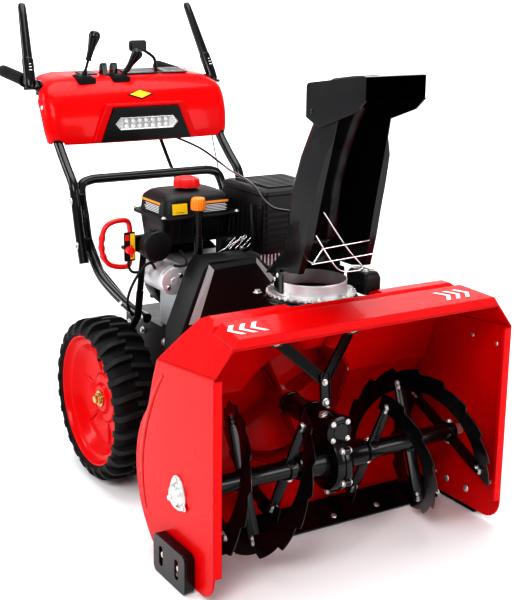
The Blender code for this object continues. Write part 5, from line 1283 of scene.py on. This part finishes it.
    marks = [printed_bar(0.114, 0.124, 1.16 + 0.01 * i, 0.0016) for i in range(6)]
    marks += [printed_bar(x0, x1, y, 0.0013) for x0, x1 in ((0.01, 0.07), (0.135, 0.172))
        for y in (1.164, 1.204)]
    piece("console_marks", merged(*marks), LABEL_WHITE)
    tab = loft([[Vector((u, v, 0.9535 + PANEL_SLOPE * (v - PANEL_FRONT) + lift)) for u, v in rounded(-0.135,
        1.165, -0.085, 1.21, 0.004)] for lift in (-0.003, 0.0022)])
    piece("console_tab", tab, SATIN, bevel=0.0006)
    front = Vector((0.0, 1.0785, 0.9065))
    slant = Vector((0.0, 0.52, 0.854)).normalized()
    outward = Vector((0.0, -0.854, 0.52)).normalized()

    def diamond(size, low, high):
        """Blank badge standing between two heights over the console's front."""
        corners = ((-0.038, 0), (0, -0.014), (0.038, 0), (0, 0.014))
        return loft([[front + Vector((u * size, 0, 0)) + slant * (v * size) + outward * lift
            for u, v in corners] for lift in (low, high)])

    piece("console_badge_edge", diamond(1.0, -0.004, 0.0014), GLOSSY,
        bevel=0.0004)
    piece("console_badge", diamond(0.84, 0.001, 0.0019), LABEL_YELLOW)
    screws = [dome_bolt((side * 0.2705, 1.108, 0.88), (side, -0.1, 0.1), 0.006, 0.003) for side in (-1, 1)]
    screws += [dome_bolt((side * 0.266, 1.12, 0.812), (side, -0.1, 0), 0.006, 0.003) for side in (-1, 1)]
    piece("console_screws", merged(*screws), ZINC)


def levers():
    """Clutch bars, chute and deflector levers, gear paddle and the turning triggers."""
    for side, name, body, node in ((-1, "right", "drive_clutch", "drive_lever_right"),
            (1, "left", "auger_clutch", "auger_lever_left")):
        pivot = Vector((side * 0.276, 1.17, 0.925))
        tip = Vector((side * 0.249, 1.287, 1.14))
        spots = [pivot + (tip - pivot) * t for t in (0.0, 0.03, 0.1, 0.3, 0.335, 0.345, 0.6, 0.85, 0.96, 0.99,
            1.0)]
        widths = (0.01, 0.0135, 0.0148, 0.015, 0.0148, 0.0132, 0.0122, 0.0112, 0.0104, 0.0085, 0.005)
        flat = [(a * 0.86, b * 1.05) for a, b in circle(1.0, 24)]
        bar = swept(spots, lambda t: [(a * widths[round(t * 10)], b * widths[round(t * 10)])
            for a, b in flat], up=(1, 0, 0))
        clutch = piece("clutch_bar_" + name, bar, GLOSSY, body, nodes=[node], bevel=0.0006, angle=25)
        cut(clutch, cylinder("X", (1.17, 0.925), 0.0046, side * 0.24, side * 0.32, 24))
        across = Vector((1, 0, 0))
        along = (tip - pivot).normalized()
        facing = Vector((0, -1, 0.45)).normalized()
        marks = []
        for k, t in enumerate((0.2, 0.235, 0.27)):
            spot = pivot + (tip - pivot) * t + facing * 0.0152
            size = 0.004 - 0.0008 * k
            marks.append(loft([[spot + across * (u * size) + along * (v * 0.003) + facing * h
                for u, v in ((-1, -1), (1, -1), (1, -0.3), (-1, -0.3))] for h in (0.0, 0.0006)]))
        piece("clutch_marks_" + name, merged(*marks), LABEL_WHITE, body)

    def knob_lever(name, node, body, pivot, knob, radius, length):
        """Lever from its pivot to the end of its flared knob, with its boot."""
        pivot, knob = Vector(pivot), Vector(knob)
        way = (knob - pivot).normalized()
        boss = cylinder("X", (pivot.y, pivot.z), 0.007, pivot.x - 0.006, pivot.x + 0.006, 24)
        rod = tube([pivot, knob - way * length * 0.8], 0.0036, 16)
        shape = ((0.0, 0.4), (0.1, 0.48), (0.35, 0.56), (0.6, 0.78), (0.78, 0.98), (0.88, 1.0), (0.96, 0.84),
            (1.0, 0.42))
        spots = [knob - way * length * (1 - t) for t, _ in shape]
        spots[-1] = spots[-1] + way * 0.001
        head = swept(spots, lambda t: circle(radius * shape[round(t * 7)][1], 28), up=(1, 0, 0))
        band = swept([knob - way * length * 0.985, knob - way * length * 0.93], circle(radius * 0.55, 24),
            up=(1, 0, 0))
        piece(name, merged(boss, rod, head, band), GLOSSY, body, nodes=[node], bevel=0.0005, angle=25)
        boot_low = Vector((pivot.x + way.x / way.z * 0.034, pivot.y + way.y / way.z * 0.034, pivot.z + 0.034))
        boot = [boot_low + way * d for d in (0.0, 0.006, 0.01, 0.014, 0.018, 0.024)]
        widths = (0.0085, 0.008, 0.0062, 0.0068, 0.0052, 0.0042)
        piece(name + "_boot", swept(boot, lambda t: circle(widths[round(t * 5)], 24), up=(1, 0, 0)), GRIP,
            body)

    knob_lever("deflector_knob", "deflector_lever", "deflector_control", (-0.149, 1.14, 0.915),
        (-0.106, 1.125, 1.072), 0.0155, 0.08)
    knob_lever("chute_knob", "chute_lever", "chute_control", (-0.049, 1.14, 0.915), (0.018, 1.12, 1.02),
        0.0155, 0.066)

    x, y = 0.099, 1.185
    boss = cylinder("X", (y, 0.915), 0.007, x - 0.006, x + 0.006, 24)
    rod = tube(smooth_path([(x, y, 0.915), (x, y, 0.96), (0.094, 1.184, 0.992), (0.07, 1.18, 1.01),
        (0.05, 1.178, 1.02)], 6), 0.0042, 16)
    paddle = loft([[Vector((0.041 + (u - 0.041) * s, 1.178 + d, 1.028 + (v - 1.028) * s))
        for u, v in rounded(0.016, 1.012, 0.066, 1.044, 0.008)] for d, s in ((-0.0085, 0.86), (-0.006, 0.98),
        (0.0, 1.0), (0.006, 0.98), (0.0085, 0.86))])
    piece("gear_paddle", merged(boss, rod, paddle), GLOSSY, "shift_control", nodes=["shift_lever"],
        bevel=0.001)
    for x, name in ((-0.066, "right"), (-0.036, "left")):
        wedge = [(1.158, 0.935), (1.182, 0.935), (1.184, 0.972), (1.1815, 0.98), (1.176, 0.984),
            (1.168, 0.9845), (1.164, 0.982), (1.1605, 0.965)]
        ribs = [block((x - 0.006, 1.16 + 0.004 * i, 0.9838), (x + 0.006, 1.1615 + 0.004 * i, 0.9852))
            for i in range(4)]
        piece("turn_key_" + name, merged(prism("X", wedge, x - 0.0075, x + 0.0075), *ribs), GLOSSY,
            "turn_trigger_" + name, nodes=["trigger_" + name], bevel=0.0014, steps=3)


def cable():
    """Deflector's control cable, from the console down to the back of the chute."""
    points = [(0.095, 1.1, 0.79), (0.12, 0.97, 0.768), (0.102, 0.82, 0.748), (0.06, 0.7, 0.75),
        (0.025, 0.6, 0.756), (0.002, 0.5, 0.752), (-0.01, 0.45, 0.744), (-0.02, 0.4, 0.728),
        (-0.03, 0.34, 0.722), (-0.038, 0.275, 0.729), (-0.04, 0.2445, 0.733)]
    route = smooth_path(points, 6)
    grip = block((-0.047, 0.2385, 0.726), (-0.033, 0.25, 0.74))
    piece("cable_clamp", merged(grip, hex_bolt((-0.04, 0.244, 0.74), (0, 0, 1), 0.007)), SATIN, "chute",
        bevel=0.0015)
    sleeve = mesh_object("cable_sleeve", tube(route, 0.003, 14), GLOSSY)
    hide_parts("deflector_cable")
    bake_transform(sleeve)


# ---------------------------------------------------------------- stage
def studio():
    """Pale floor that curves up into a backdrop, and soft lights."""
    floor_mesh = bmesh.new()
    rows = []
    profile = [(-6.0, 0.0), (4.0, 0.0)] + [(4.0 + 2.0 * math.sin(math.radians(a)),
        2.0 - 2.0 * math.cos(math.radians(a))) for a in range(10, 91, 10)] + [(6.0, 7.0)]
    for along, up in profile:
        rows.append([floor_mesh.verts.new((x, along, up - 0.0005)) for x in (-9.0, 9.0)])
    for near, far in zip(rows, rows[1:]):
        floor_mesh.faces.new((near[0], near[1], far[1], far[0]))
    data = bpy.data.meshes.new("floor")
    floor_mesh.to_mesh(data)
    data.shade_smooth()
    floor = bpy.data.objects.new("floor", data)
    floor.rotation_euler = (0, 0, math.radians(-31))
    bpy.context.collection.objects.link(floor)
    data.materials.append(surface("studio_floor", (0.95, 0.95, 0.95), 0.8, grain=(60, 0.01),
        patches=(2, 0.01), bevel=0))

    world = bpy.data.worlds.new("studio")
    world.use_nodes = True
    world.node_tree.nodes["Background"].inputs["Color"].default_value = (0.95, 0.96, 1.0, 1.0)
    world.node_tree.nodes["Background"].inputs["Strength"].default_value = 0.48
    bpy.context.scene.world = world
    bpy.context.scene.view_settings.view_transform = "Standard"
    bpy.context.scene.view_settings.look = "High Contrast"
    bpy.context.scene.view_settings.exposure = -0.22

    def area(name, place, target, size, power):
        """Soft rectangular light at a place, facing a target."""
        light = bpy.data.lights.new(name, "AREA")
        light.shape = "RECTANGLE"
        light.size, light.size_y = size
        light.energy = power
        lamp = bpy.data.objects.new(name, light)
        lamp.location = place
        lamp.rotation_euler = (Vector(target) - Vector(place)).to_track_quat("-Z", "Y").to_euler()
        bpy.context.collection.objects.link(lamp)

    area("key_light", (-2.6, -2.6, 3.0), (0, -0.2, 0.4), (1.8, 1.8), 84)
    area("front_fill", (1.8, -3.6, 1.6), (0.1, -0.6, 0.3), (2.2, 1.6), 45)
    area("top_light", (0.2, 0.2, 3.4), (0, 0, 0.5), (2.6, 2.6), 84)
    area("backdrop_light", (1.6, 2.6, 2.6), (3.2, 5.3, 1.6), (3.5, 1.5), 130)
    area("rim_light", (-2.8, 1.6, 1.8), (0, 0.1, 0.6), (0.8, 1.8), 35)


def camera():
    """The view that the looks were matched in."""
    data = bpy.data.cameras.new("camera")
    data.lens = 71.41
    data.sensor_width = 36.0
    data.shift_x = 0.0029
    data.shift_y = -0.0184
    view = bpy.data.objects.new("camera", data)
    yaw, pitch, roll = math.radians(31.1313), math.radians(-14.8305), math.radians(0.5602)
    ahead = Vector((math.sin(yaw) * math.cos(pitch), math.cos(yaw) * math.cos(pitch), math.sin(pitch)))
    right = Vector((math.cos(yaw), -math.sin(yaw), 0.0))
    up = right.cross(ahead)
    across = right * math.cos(roll) + up * math.sin(roll)
    upright = up * math.cos(roll) - right * math.sin(roll)
    turn = Matrix((across, upright, -ahead)).transposed().to_4x4()
    eye = Vector((-1.4035, -1.8532, 1.2229))
    view.matrix_world = Matrix.Translation(eye + SHIFT) @ turn
    bpy.context.collection.objects.link(view)
    bpy.context.scene.camera = view


for build in (wheels, augers, gearbox, impeller, housing_details, chute, guard_wires, engine, tank,
        belt_guard, chassis_details, handles, console, levers, cable, studio, camera):
    build()
bpy.context.view_layer.update()
